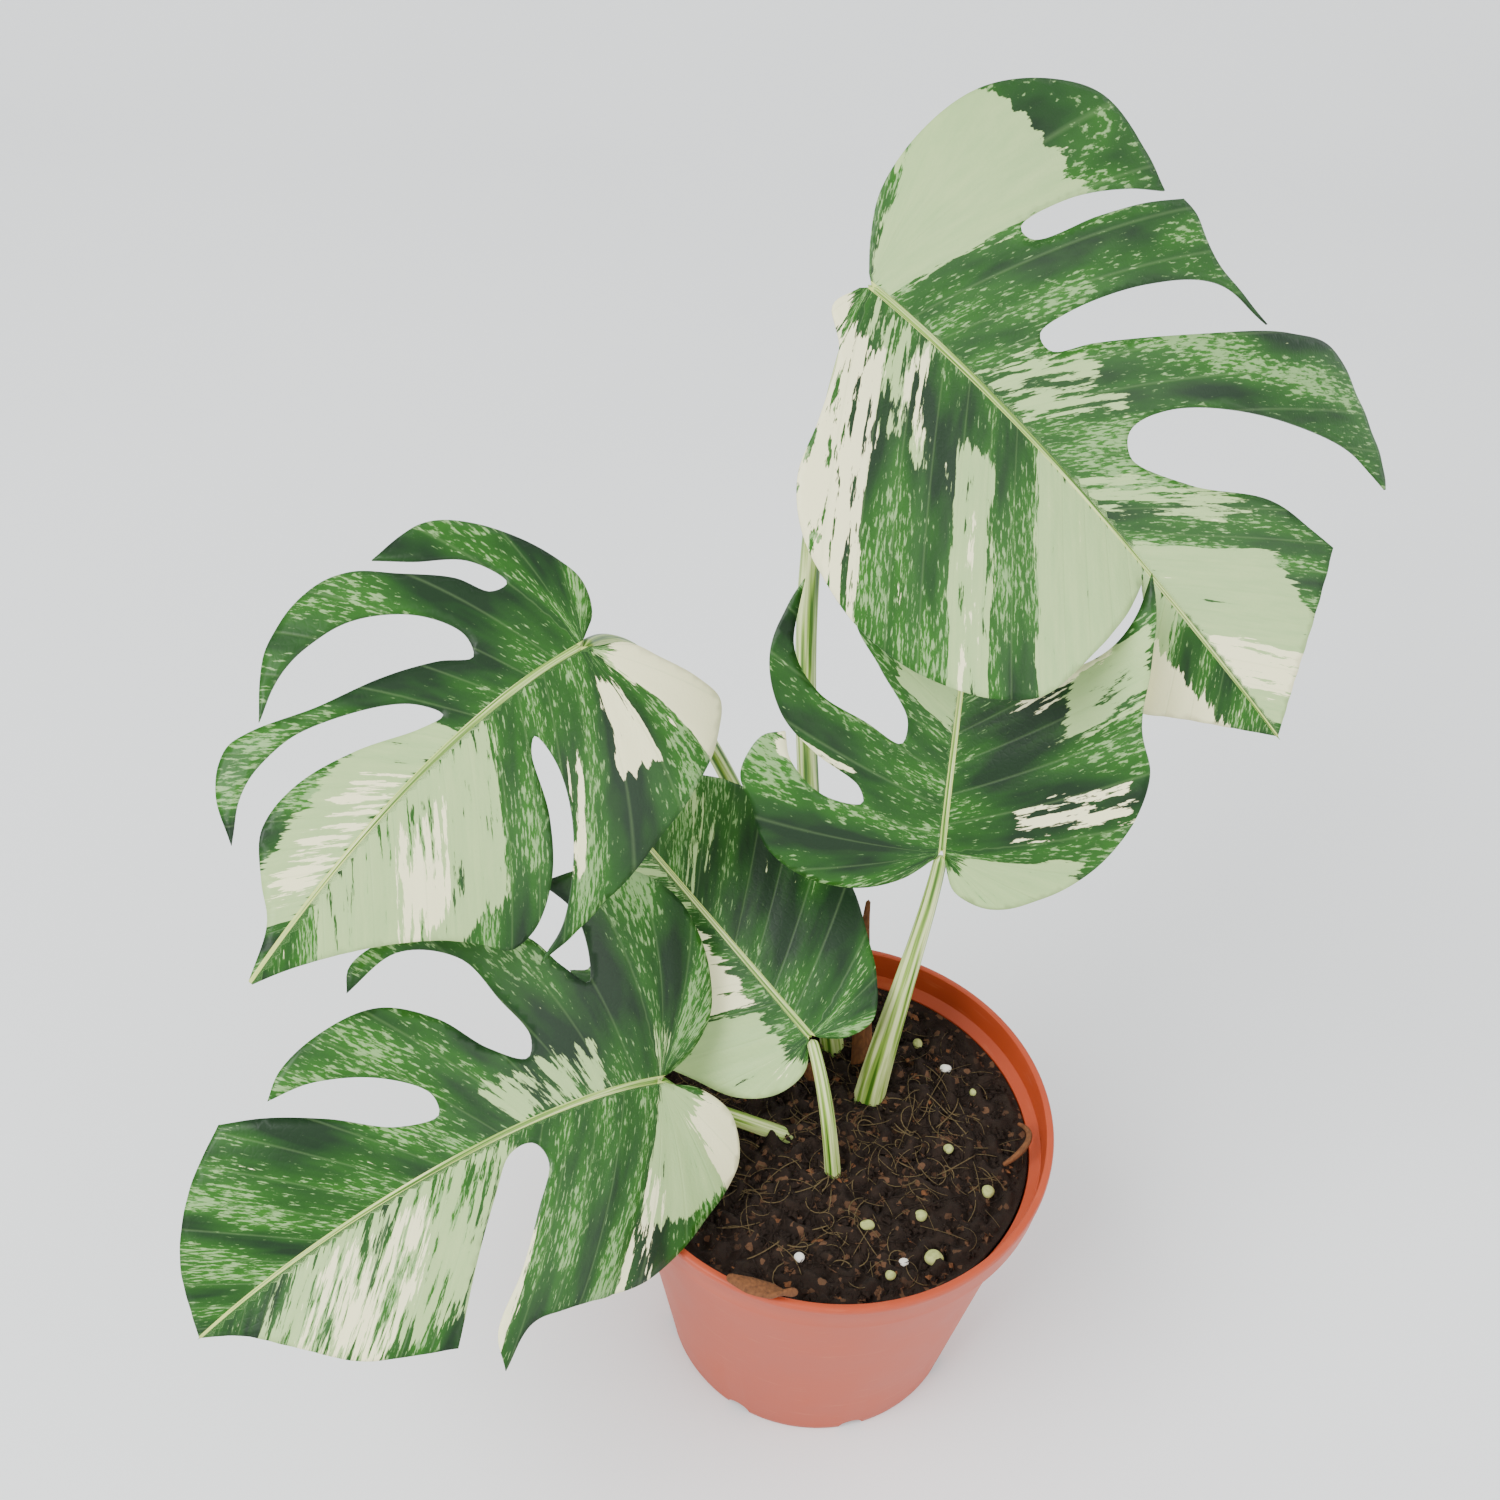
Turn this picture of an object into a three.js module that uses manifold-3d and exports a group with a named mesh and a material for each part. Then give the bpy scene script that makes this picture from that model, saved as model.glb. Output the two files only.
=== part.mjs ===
// Variegated monstera in a round plastic nursery pot. Millimetres, Z up, the pot's base centre at the origin.
import * as THREE from "three";
import { mergeVertices } from "three/addons/utils/BufferGeometryUtils.js";
import Module from "manifold-3d";

const wasm = await Module();
wasm.setup();

// ---------------------------------------------------------------- pot and soil
const POT_HEIGHT = 133.3;
const RIM_RADIUS = 85;
const BASE_RADIUS = 60.3;
const WALL = 1.8;
const FLOOR = 3;
const FOOT_ROUND = 1.5;
const LIP_WIDTH = 3;
const LIP_HEIGHT = 2.6;
const LIP_ROUND = 0.5;
const COLLAR_HEIGHT = 14;
const COLLAR_TAPER = 1.4;
const COLLAR_STEP = 4.2;
const COLLAR_LEDGE = 1.2;
const POT_SEGMENTS = 64;
const DRAIN_SLOTS = 8;
const DRAIN_RADIUS = 5;
const DRAIN_LENGTH = 16;
const DRAIN_START = 16;
const SOIL_LEVEL = 119;
const SOIL_SHOULDER = 2.5;
const SOIL_SEGMENTS = 40;
const SOIL_LEVEL_OUT_FROM = 66;
const SOIL_LEVEL_OUT_TO = 79;
const FIT_GAP = 0.4;

// Worked out from the above: where the collar meets the tapered body.
const COLLAR_FOOT_Z = POT_HEIGHT - COLLAR_HEIGHT;
const COLLAR_FOOT_RADIUS = RIM_RADIUS - COLLAR_TAPER;
const BODY_TOP_RADIUS = COLLAR_FOOT_RADIUS - COLLAR_STEP;

// ---------------------------------------------------------------- leaves
const BLADE_HALF_THICKNESS = 0.45;
const EDGE_SPACING = 4.6;
const MIDRIB_SPACING = 5;
const INNER_SPACING = 10.5;
const INNER_JITTER = 0.6;
const LATTICE_COLUMNS = 14;
const LATTICE_FIRST_ROW = -8;
const SLIVER_AREA = 0.05;
const VEIN_FAN_ANGLE = 72;
const VEIN_TIP_ANGLE = 35;
const VEIN_SWEEP = 0.0015;
const VEIN_C0 = 1 / Math.tan(THREE.MathUtils.degToRad(VEIN_FAN_ANGLE));
const VEIN_C1 = 1 / Math.tan(THREE.MathUtils.degToRad(VEIN_TIP_ANGLE)) - VEIN_C0;

// Each leaf: the midrib is a cubic curve from petiole to apex, and "face" is the way the upper side looks at
// its base and at its apex. A half's margin is a smooth curve through a few points from petiole to apex, in
// flat millimetres (x across, y along the midrib), and a third entry breaks it at a sharp corner. "rise" is
// how far the half stands up from the midrib in degrees and "curl" how much it rolls under in degrees per
// 100 mm, after the first "start" millimetres. Both are [place along the midrib, value] keys; -1 is the back
// of the basal lobe, 0 the petiole and 1 the apex.
const LEAVES = {
  // Top right, the largest: one whole side, and three long cuts on the other.
  a: {
    midrib: [[-8, 100, 423], [40, 91, 390], [95, 71, 338], [143, 46, 290]],
    face: [[0.15, -0.78, 0.62], [0.2, -0.78, 0.6]],
    right: {
      rise: [[-1, 5], [0, 12], [0.45, 18], [0.61, 22], [0.64, -24], [1, -26]],
      start: 15,
      curl: [[-1, 20], [0.5, 10], [0.6, 20], [1, 20]],
      margin: [
        [3, -2, 1], [13, -6], [23, 3], [45, 10], [65, 15], [80, 29], [89, 54], [89, 80], [83, 101], [74, 118],
        [62, 130], [40, 135], [18, 136], [3, 133, 1],
        [10, 146], [24, 157], [37, 170, 1], [30, 178], [21, 186], [11, 196], [0, 207, 1],
      ],
    },
    left: {
      rise: [[-1, 0], [1, -5]],
      start: 32,
      curl: [[-1, 35], [0.3, 30], [0.6, 25], [1, 30]],
      margin: [
        [-3, -2, 1], [-12, -8], [-26, -14], [-50, -14], [-75, -6], [-97, 12], [-108, 30], [-107, 48],
        [-99, 65, 1], [-87, 53], [-66, 37], [-47, 29], [-47, 34], [-70, 48], [-88, 60], [-103, 72, 1],
        [-103, 79], [-97, 89], [-97, 118, 1], [-91, 96], [-67, 73], [-38, 56], [-26, 53], [-25, 59],
        [-38, 69], [-68, 95], [-104, 128], [-121, 151], [-115, 170], [-104, 187], [-98, 190, 1],
        [-94, 170], [-69, 130], [-42, 102], [-27, 96], [-21, 102], [-31, 124], [-51, 150], [-60, 179, 1],
        [-42, 186], [-22, 195], [0, 207, 1],
      ],
    },
  },
  // Left, hanging: long curved fingers on its far side, one cut and a pale basal lobe on its near side.
  b: {
    midrib: [[-95, 45, 317], [-130, 12, 315], [-163, -34, 292], [-187, -61, 263]],
    face: [[0.25, -0.5, 0.8], [0.2, -0.6, 0.75]],
    right: {
      rise: [[-1, 5], [1, 0]],
      start: 22,
      curl: [[-1, 45], [1, 45]],
      margin: [
        [2, -2, 1], [8, -9], [20, -12], [38, -4], [53, 8], [62, 22], [61, 41, 1],
        [52, 31], [43, 18], [30, 11], [30, 17], [40, 24], [52, 37], [62, 48], [66, 60], [61, 79], [46, 94, 1],
        [52, 79], [50, 58], [38, 40], [23, 31], [16, 33], [22, 43], [30, 61], [36, 78], [46, 98],
        [48, 106], [42, 116], [28, 124, 1],
        [36, 110], [36, 92], [29, 75], [17, 57], [8, 52], [10, 61], [19, 80], [25, 100], [24, 115],
        [15, 126], [6, 135], [0, 154, 1],
      ],
    },
    left: {
      rise: [[-1, -5], [1, -5]],
      start: 18,
      curl: [[-1, 50], [1, 40]],
      margin: [
        [-2, -3, 1], [-6, -15], [-16, -24], [-28, -34], [-38, -39], [-50, -30], [-61, -13], [-70, 9],
        [-78, 30], [-80, 52], [-78, 75, 1],
        [-74, 60], [-62, 47], [-46, 37], [-28, 32], [-16, 33], [-20, 38], [-40, 45], [-57, 56], [-66, 72],
        [-64, 85], [-54, 93], [-41, 104], [-24, 122], [-8, 142], [0, 154, 1],
      ],
    },
  },
  // Lower left: cut to fingers on both sides, with a broad pale basal lobe towards the pot.
  c: {
    midrib: [[-64, -22, 175], [-103, -54, 204], [-166, -98, 192], [-205, -121, 158]],
    face: [[0.22, -0.62, 0.75], [0.05, -0.6, 0.78]],
    right: {
      rise: [[-1, 12], [1, 5]],
      start: 20,
      curl: [[-1, 20], [0, 35], [1, 40]],
      margin: [
        [2, -4, 1], [9, -14], [24, -23], [44, -21], [62, -12], [73, 4], [77, 24], [74, 44, 1],
        [62, 34], [46, 29], [38, 29], [46, 38], [58, 48], [68, 68], [72, 88], [69, 97], [62, 99, 1],
        [67, 84], [58, 67], [41, 57], [26, 49], [20, 51], [28, 63], [43, 76], [54, 92], [55, 108],
        [51, 122], [45, 128, 1],
        [43, 115], [34, 96], [22, 83], [15, 83], [18, 96], [31, 114], [41, 130], [47, 143, 1],
        [36, 158], [22, 170], [8, 177], [0, 181, 1],
      ],
    },
    left: {
      rise: [[-1, 8], [0.3, 4], [1, -3]],
      start: 18,
      curl: [[-1, 25], [1, 25]],
      margin: [
        [-2, -4, 1], [-5, -17], [-17, -32], [-34, -33], [-51, -15], [-65, 8], [-69, 27], [-65, 55],
        [-63, 76], [-73, 88, 1],
        [-59, 89], [-44, 75], [-28, 63], [-15, 54], [-7, 57], [-7, 66], [-17, 76], [-35, 91], [-56, 105, 1],
        [-49, 122], [-40, 139], [-22, 157], [-9, 169], [0, 181, 1],
      ],
    },
  },
  // Centre right, facing out: two fingers on its left, a broad sickle lobe on its right.
  d: {
    midrib: [[32, 34, 240], [32, 46, 275], [36, 74, 316], [38, 105, 345]],
    face: [[-0.1, -0.8, 0.6], [-0.1, -0.7, 0.7]],
    right: {
      rise: [[-1, 8], [0, 18], [1, 14]],
      start: 15,
      curl: [[-1, 0], [1, 0]],
      margin: [
        [1, -2, 1], [6, -14], [20, -18], [37, -10], [53, 5], [65, 28], [68, 46], [63, 60], [63, 80],
        [62, 98], [59, 109, 1],
        [56, 95], [49, 83], [37, 74], [23, 70], [21, 77], [28, 92], [25, 108], [12, 121], [0, 128, 1],
      ],
    },
    left: {
      rise: [[-1, 10], [0, 20], [1, 20]],
      start: 15,
      curl: [[-1, 10], [1, -10]],
      margin: [
        [-2, -2, 1], [-14, -10], [-31, -13], [-49, -8], [-64, 5], [-71, 25], [-75, 37], [-69, 47],
        [-61, 48, 1], [-58, 38], [-45, 25], [-31, 21], [-33, 27], [-50, 40], [-63, 54], [-69, 73],
        [-65, 88], [-60, 97, 1],
        [-61, 75], [-51, 60], [-33, 49], [-19, 41], [-18, 49], [-30, 67], [-41, 84], [-38, 101],
        [-18, 118], [0, 128, 1],
      ],
    },
  },
  // Centre, small and young: a whole heart shape with one notch near its tip.
  e: {
    midrib: [[-10, 3, 172], [-30, 20, 185], [-64, 48, 206], [-92, 78, 218]],
    face: [[0.15, -0.7, 0.7], [0.1, -0.7, 0.7]],
    right: {
      rise: [[-1, 5], [1, 0]],
      start: 15,
      curl: [[-1, 30], [1, 30]],
      margin: [
        [2, -2, 1], [9, -8], [21, -10], [32, 0], [41, 16], [49, 34], [51, 52], [48, 70], [43, 88],
        [33, 103], [17, 114], [0, 120, 1],
      ],
    },
    left: {
      rise: [[-1, -13], [1, -13]],
      start: 10,
      curl: [[-1, 20], [1, 20]],
      margin: [
        [-3, -2, 1], [-10, -8], [-23, -8], [-36, 1], [-45, 18], [-54, 38], [-58, 58], [-55, 82, 1],
        [-48, 77], [-40, 88], [-30, 104], [-15, 115], [0, 120, 1],
      ],
    },
  },
};

// ---------------------------------------------------------------- stalks and small pieces
// Cubic paths from below the soil upwards, with the radius keyed evenly from foot to top. "flatten" is the
// thickness of a strap-like piece over its width.
const STALKS = {
  petiole_a: {
    path: [[4, 37, 104], [-13, 84, 196], [-34, 92, 330], [-10.5, 103, 421]],
    radii: [5, 4.2, 3.8, 2.6],
  },
  petiole_b: {
    path: [[-9, 49, 104], [-8, 90, 150], [-78, 150, 262], [-93.5, 48.5, 313.5]],
    radii: [4, 3.6, 3.2, 2.4],
  },
  petiole_c: {
    path: [[-1, -2, 104], [-16, 2, 118], [-50, -3, 129], [-62.5, -17, 168.5]],
    radii: [4, 3.2, 2.8, 2.2],
  },
  petiole_d: {
    path: [[15, 18, 104], [18, 21, 150], [30, 30, 205], [32, 35.5, 235.5]],
    radii: [6.8, 5.2, 3.6, 2.4],
  },
  petiole_e: {
    path: [[3, -20, 104], [0, -17, 135], [-4, -12, 162], [-8.5, 1, 168.5]],
    radii: [3.4, 3, 2.7, 2.2],
  },
  dry_sheath: {
    path: [[13, 29, 106], [14, 36, 130], [9, 50, 163], [11, 61, 186]],
    radii: [4.6, 4, 3, 0.9],
    flatten: 0.35,
  },
  old_stem: {
    path: [[-7, 25, 104], [-7, 25.5, 112], [-6, 26, 119], [-5, 27, 126]],
    radii: [5.4, 5.2, 4.8, 4.2],
  },
  root_curl: {
    path: [[66, -14, 122.6], [74, -12, 129], [80, -4, 131], [73, 4, 124.6]],
    radii: [0.9, 1.3, 1.2, 0.7],
  },
  bark_chip: {
    path: [[-37, -75.5, 136.4], [-28, -79, 135.7], [-20, -81.5, 136], [-12, -80.5, 137]],
    radii: [1.4, 3.2, 3.6, 1.2],
    flatten: 0.45,
  },
};
const STALK_RINGS = 13;
const STALK_SIDES = 10;

// Slow-release pellets and perlite grains lying on the soil: [x, y, length, width, height, turn in degrees]
const GRAINS = {
  pellet_1: [38, -54, 8, 6.4, 5, 20],
  pellet_2: [60, -24, 6, 5, 4, 70],
  pellet_3: [34, -37, 5.4, 4.6, 4, -30],
  pellet_4: [14, -42, 6, 4.4, 3.6, 10],
  pellet_5: [46, -6, 4.8, 4, 3.4, 50],
  pellet_6: [58, 22, 4.6, 4, 3.4, -15],
  pellet_7: [22, -62, 4.6, 3.8, 3.2, 35],
  pellet_8: [36, 44, 5, 4.2, 3.4, 80],
  perlite_1: [47, 33, 5, 4, 3.4, 0],
  perlite_2: [-11, -57, 4.6, 4, 3.2, 40],
  perlite_3: [27, -56.5, 4, 3.4, 3, 15],
};
const GRAIN_SUNK = 0.3;

// ---------------------------------------------------------------- vectors and keys
const vec = (p) => new THREE.Vector3(...p);

// Value at s on a list of [s, value] keys, straight between keys.
function keyed(keys, s) {
  if (s <= keys[0][0]) return keys[0][1];
  for (let i = 1; i < keys.length; i += 1) {
    const [s0, v0] = keys[i - 1];
    const [s1, v1] = keys[i];
    if (s <= s1) return v0 + ((v1 - v0) * (s - s0)) / (s1 - s0);
  }
  return keys[keys.length - 1][1];
}

// ---------------------------------------------------------------- leaf surface
// The midrib by arc length, with the blade's own axes: along (tangent), up (normal), across (to the right).
function midribOf(leaf) {
  const curve = new THREE.CubicBezierCurve3(...leaf.midrib.map(vec));
  curve.arcLengthDivisions = 400;
  return { curve, length: curve.getLength(), up0: vec(leaf.face[0]), up1: vec(leaf.face[1]) };
}

function axesAt(rib, y) {
  const inside = THREE.MathUtils.clamp(y, 0, rib.length);
  const u = inside / rib.length;
  const point = rib.curve.getPointAt(u);
  const along = rib.curve.getTangentAt(u);
  const up = rib.up0.clone().lerp(rib.up1, u);
  up.addScaledVector(along, -up.dot(along)).normalize();
  const across = new THREE.Vector3().crossVectors(along, up);
  return { point, along, up, across };
}

// A flat place (x, y) belongs to a side vein: where it leaves the midrib, its angle and the distance out.
function veinOf(x, y, length) {
  const wide = Math.abs(x);
  const level = y - VEIN_SWEEP * wide * wide;
  const root = (level - VEIN_C0 * wide) / (1 + (VEIN_C1 * wide) / length);
  const origin = Math.max(root, 0);
  const angle = Math.atan2(wide, level - origin);
  const out = Math.hypot(wide, level - origin);
  const fan = Math.atan2(1, VEIN_C0);
  const place = root > 0 ? root / length : -(angle - fan) / (Math.PI - fan);
  return { origin, angle, out, place };
}

// Bends the flat leaf: each side vein rises from the midrib, then rolls under along an arc.
function leafPoint(leaf, rib, x, y) {
  const half = x >= 0 ? leaf.right : leaf.left;
  const side = x >= 0 ? 1 : -1;
  const { origin, angle, out, place } = veinOf(x, y, rib.length);
  const { point, along, up, across } = axesAt(rib, origin);
  const rise = THREE.MathUtils.degToRad(keyed(half.rise, place));
  const bend = THREE.MathUtils.degToRad(keyed(half.curl, place)) / 100;
  const curl = Math.abs(bend) < 1e-6 ? 1e-6 : bend;
  const straight = Math.min(out, half.start);
  const rolled = Math.max(out - half.start, 0);
  const run = straight * Math.cos(rise) + (Math.sin(rise) - Math.sin(rise - curl * rolled)) / curl;
  const lift = straight * Math.sin(rise) + (Math.cos(rise - curl * rolled) - Math.cos(rise)) / curl;
  return point
    .addScaledVector(across, run * Math.sin(angle) * side)
    .addScaledVector(along, run * Math.cos(angle) + VEIN_SWEEP * x * x)
    .addScaledVector(up, lift);
}

// ---------------------------------------------------------------- flat outline and its triangles
// A smooth curve through the margin points, broken at the sharp corners, cut into even steps.
function marginPoints(margin) {
  const steps = [];
  let run = [margin[0]];
  for (let i = 1; i < margin.length; i += 1) {
    run.push(margin[i]);
    if (margin[i][2] || i === margin.length - 1) {
      const corners = run.map(([x, y]) => new THREE.Vector3(x, y, 0));
      const curve = new THREE.CatmullRomCurve3(corners, false, "centripetal");
      const count = Math.max(2, Math.round(curve.getLength() / EDGE_SPACING));
      for (let k = steps.length ? 1 : 0; k <= count; k += 1) {
        const p = curve.getPointAt(k / count);
        steps.push([p.x, p.y]);
      }
      run = [margin[i]];
    }
  }
  return steps;
}

function insideOf(outline, x, y) {
  let inside = false;
  for (let i = 0, j = outline.length - 1; i < outline.length; j = i, i += 1) {
    const [xi, yi] = outline[i];
    const [xj, yj] = outline[j];
    if (yi > y !== yj > y && x < ((xj - xi) * (y - yi)) / (yj - yi) + xi) inside = !inside;
  }
  return inside;
}

function clearOf(points, x, y, gap) {
  return points.every(([px, py]) => (px - x) ** 2 + (py - y) ** 2 > gap * gap);
}

// Delaunay triangles by inserting one point after another.
function delaunay(points) {
  const far = 4000;
  const all = [...points, [-far, -far], [far, -far], [0, far]];
  const n = points.length;
  const circle = (a, b, c) => {
    const [ax, ay] = all[a];
    const bx = all[b][0] - ax;
    const by = all[b][1] - ay;
    const cx = all[c][0] - ax;
    const cy = all[c][1] - ay;
    const d = 2 * (bx * cy - by * cx);
    const ux = (cy * (bx * bx + by * by) - by * (cx * cx + cy * cy)) / d;
    const uy = (bx * (cx * cx + cy * cy) - cx * (bx * bx + by * by)) / d;
    return { tri: [a, b, c], x: ax + ux, y: ay + uy, r2: ux * ux + uy * uy };
  };
  let cells = [circle(n, n + 1, n + 2)];
  for (let i = 0; i < n; i += 1) {
    const [x, y] = all[i];
    const edges = new Map();
    const kept = [];
    for (const cell of cells) {
      if ((cell.x - x) ** 2 + (cell.y - y) ** 2 >= cell.r2) {
        kept.push(cell);
        continue;
      }
      for (let k = 0; k < 3; k += 1) {
        const a = cell.tri[k];
        const b = cell.tri[(k + 1) % 3];
        const back = `${b}_${a}`;
        if (edges.has(back)) edges.delete(back);
        else edges.set(`${a}_${b}`, [a, b]);
      }
    }
    for (const [a, b] of edges.values()) kept.push(circle(a, b, i));
    cells = kept;
  }
  return cells.map((cell) => cell.tri).filter((tri) => tri.every((k) => k < n));
}

function flatLeaf(leaf, rib) {
  const right = marginPoints(leaf.right.margin);
  const left = marginPoints(leaf.left.margin).slice(0, -1).reverse();
  const outline = [[0, 1.5], ...right, ...left];
  const points = [...outline];
  for (let y = 2 * MIDRIB_SPACING; y < rib.length - MIDRIB_SPACING; y += MIDRIB_SPACING) points.push([0, y]);
  const rowHeight = INNER_SPACING * Math.sqrt(0.75);
  for (let row = LATTICE_FIRST_ROW; row * rowHeight < rib.length + 10; row += 1) {
    const shift = row % 2 ? 0.5 : 0;
    for (let column = -LATTICE_COLUMNS; column <= LATTICE_COLUMNS; column += 1) {
      // A small regular jitter keeps four points off one circle.
      const x = (column + shift) * INNER_SPACING + INNER_JITTER * Math.sin(3 * row + column);
      const y = row * rowHeight + INNER_JITTER * Math.cos(2 * column - row);
      if (insideOf(outline, x, y) && clearOf(points, x, y, EDGE_SPACING * 0.95)) points.push([x, y]);
    }
  }
  const triangles = delaunay(points).filter(([a, b, c]) => {
    const x = (points[a][0] + points[b][0] + points[c][0]) / 3;
    const y = (points[a][1] + points[b][1] + points[c][1]) / 3;
    const area = (points[b][0] - points[a][0]) * (points[c][1] - points[a][1])
      - (points[b][1] - points[a][1]) * (points[c][0] - points[a][0]);
    return insideOf(outline, x, y) && Math.abs(area) > SLIVER_AREA;
  });
  return { points, triangles };
}

// The blade as a thin closed sheet: upper side, lower side and a strip round the margin.
function bladeGeometry(leaf) {
  const rib = midribOf(leaf);
  const { points, triangles } = flatLeaf(leaf, rib);
  const count = points.length;
  const positions = new Float32Array(count * 6);
  const step = 0.6;
  points.forEach(([x, y], i) => {
    const p = leafPoint(leaf, rib, x, y);
    const dx = leafPoint(leaf, rib, x + step, y).sub(leafPoint(leaf, rib, x - step, y));
    const dy = leafPoint(leaf, rib, x, y + step).sub(leafPoint(leaf, rib, x, y - step));
    const normal = dx.cross(dy).normalize().multiplyScalar(BLADE_HALF_THICKNESS);
    p.clone().add(normal).toArray(positions, i * 3);
    p.clone().sub(normal).toArray(positions, (count + i) * 3);
  });
  const index = [];
  const open = new Map();
  for (const [p, q, r] of triangles) {
    const turn = (points[q][0] - points[p][0]) * (points[r][1] - points[p][1])
      - (points[q][1] - points[p][1]) * (points[r][0] - points[p][0]);
    const [a, b, c] = turn > 0 ? [p, q, r] : [p, r, q];
    index.push(a, b, c, count + a, count + c, count + b);
    for (const [u, v] of [[a, b], [b, c], [c, a]]) {
      if (open.has(`${v}_${u}`)) open.delete(`${v}_${u}`);
      else open.set(`${u}_${v}`, [u, v]);
    }
  }
  for (const [u, v] of open.values()) index.push(u, count + u, count + v, u, count + v, v);
  const geometry = new THREE.BufferGeometry();
  geometry.setAttribute("position", new THREE.BufferAttribute(positions, 3));
  geometry.setIndex(index);
  return geometry;
}

// ---------------------------------------------------------------- stalks
// Round or flattened tube along a cubic path, its radius keyed from foot to top, both ends closed.
function stalkGeometry({ path, radii, flatten = 1 }, extra = 0) {
  const rings = STALK_RINGS;
  const around = STALK_SIDES;
  const curve = new THREE.CubicBezierCurve3(...path.map(vec));
  const keys = radii.map((r, i) => [i / (radii.length - 1), r]);
  const positions = [];
  const index = [];
  for (let i = 0; i <= rings; i += 1) {
    const u = i / rings;
    const centre = curve.getPointAt(u);
    const radius = keyed(keys, u) + extra;
    const thin = keyed(keys, u) * flatten + extra;
    const along = curve.getTangentAt(u);
    if (i === rings) centre.addScaledVector(along, extra);
    // The wide way of a flattened stalk lies across the pot, level with the ground.
    const wide = new THREE.Vector3(1, 0, 0).addScaledVector(along, -along.x).normalize();
    const narrow = new THREE.Vector3().crossVectors(along, wide);
    for (let k = 0; k < around; k += 1) {
      const turn = (k / around) * Math.PI * 2;
      const p = centre.clone()
        .addScaledVector(wide, radius * Math.cos(turn))
        .addScaledVector(narrow, thin * Math.sin(turn));
      positions.push(p.x, p.y, p.z);
    }
    if (i < rings) {
      for (let k = 0; k < around; k += 1) {
        const a = i * around + k;
        const b = i * around + ((k + 1) % around);
        index.push(a, b, b + around, a, b + around, a + around);
      }
    }
  }
  for (let k = 1; k < around - 1; k += 1) {
    const top = rings * around;
    index.push(0, k + 1, k, top, top + k, top + k + 1);
  }
  const geometry = new THREE.BufferGeometry();
  geometry.setAttribute("position", new THREE.Float32BufferAttribute(positions, 3));
  geometry.setIndex(index);
  return geometry;
}

// ---------------------------------------------------------------- solids
// Joins equal corners so that the surface is one closed net, and drops the flat triangles at a pole.
function closed(geometry) {
  geometry.deleteAttribute("normal");
  geometry.deleteAttribute("uv");
  const joined = mergeVertices(geometry, 1e-4);
  const index = [];
  for (let i = 0; i < joined.index.count; i += 3) {
    const [a, b, c] = [0, 1, 2].map((k) => joined.index.getX(i + k));
    if (a !== b && b !== c && c !== a) index.push(a, b, c);
  }
  joined.setIndex(index);
  return joined;
}

// Turns a profile of [radius, height] points, from axis to axis, about the Z axis.
function turned(profile, segments) {
  const points = profile.map(([radius, height]) => new THREE.Vector2(radius, height));
  return closed(new THREE.LatheGeometry(points, segments).rotateX(Math.PI / 2));
}

function toManifold(geometry) {
  const vertProperties = Float32Array.from(geometry.attributes.position.array);
  const triVerts = Uint32Array.from(geometry.index.array);
  return new wasm.Manifold(new wasm.Mesh({ numProp: 3, vertProperties, triVerts }));
}

function fromManifold(solid) {
  const mesh = solid.getMesh();
  const geometry = new THREE.BufferGeometry();
  geometry.setAttribute("position", new THREE.Float32BufferAttribute(mesh.vertProperties, 3));
  geometry.setIndex(Array.from(mesh.triVerts));
  return geometry;
}

// Thin tapered wall with a collar band round its top, a rounded lip and slots cut through the base's edge.
function potGeometry() {
  const lipInner = RIM_RADIUS - LIP_WIDTH;
  const innerFoot = BASE_RADIUS - WALL;
  const profile = [
    [0, 0],
    [BASE_RADIUS - FOOT_ROUND, 0],
    [BASE_RADIUS, FOOT_ROUND],
    [BODY_TOP_RADIUS, COLLAR_FOOT_Z - COLLAR_LEDGE],
    [COLLAR_FOOT_RADIUS, COLLAR_FOOT_Z],
    [RIM_RADIUS - 0.3, POT_HEIGHT - LIP_HEIGHT - LIP_ROUND],
    [RIM_RADIUS, POT_HEIGHT - LIP_HEIGHT],
    [RIM_RADIUS - 0.2, POT_HEIGHT - LIP_ROUND],
    [RIM_RADIUS - 0.7, POT_HEIGHT],
    [lipInner + 0.6, POT_HEIGHT],
    [lipInner, POT_HEIGHT - 0.8],
    [COLLAR_FOOT_RADIUS - WALL - 0.2, COLLAR_FOOT_Z + 2.2],
    [BODY_TOP_RADIUS - WALL, COLLAR_FOOT_Z - COLLAR_LEDGE / 2],
    [innerFoot, FLOOR + FOOT_ROUND],
    [innerFoot - 2, FLOOR],
    [0, FLOOR],
  ];
  let pot = toManifold(turned(profile, POT_SEGMENTS));
  for (let k = 0; k < DRAIN_SLOTS; k += 1) {
    const turn = THREE.MathUtils.degToRad(DRAIN_START + (k * 360) / DRAIN_SLOTS);
    const slot = new THREE.CylinderGeometry(DRAIN_RADIUS, DRAIN_RADIUS, DRAIN_LENGTH, 14)
      .rotateZ(Math.PI / 2)
      .translate(BASE_RADIUS - 1, 0, 0.4)
      .rotateZ(turn);
    pot = pot.subtract(toManifold(closed(slot)));
  }
  return fromManifold(pot);
}

// Lumpy top of the potting mix, a few waves across the pot that die out at the wall.
function soilTop(x, y) {
  const broad = 0.9 * Math.sin(x / 9 + 1) * Math.cos(y / 11);
  const ripple = 0.7 * Math.sin((x + y) / 6.5) + 0.5 * Math.cos((x - 2 * y) / 8);
  const fade = 1 - THREE.MathUtils.smoothstep(Math.hypot(x, y), SOIL_LEVEL_OUT_FROM, SOIL_LEVEL_OUT_TO);
  return SOIL_LEVEL + (broad + ripple) * fade;
}

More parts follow.
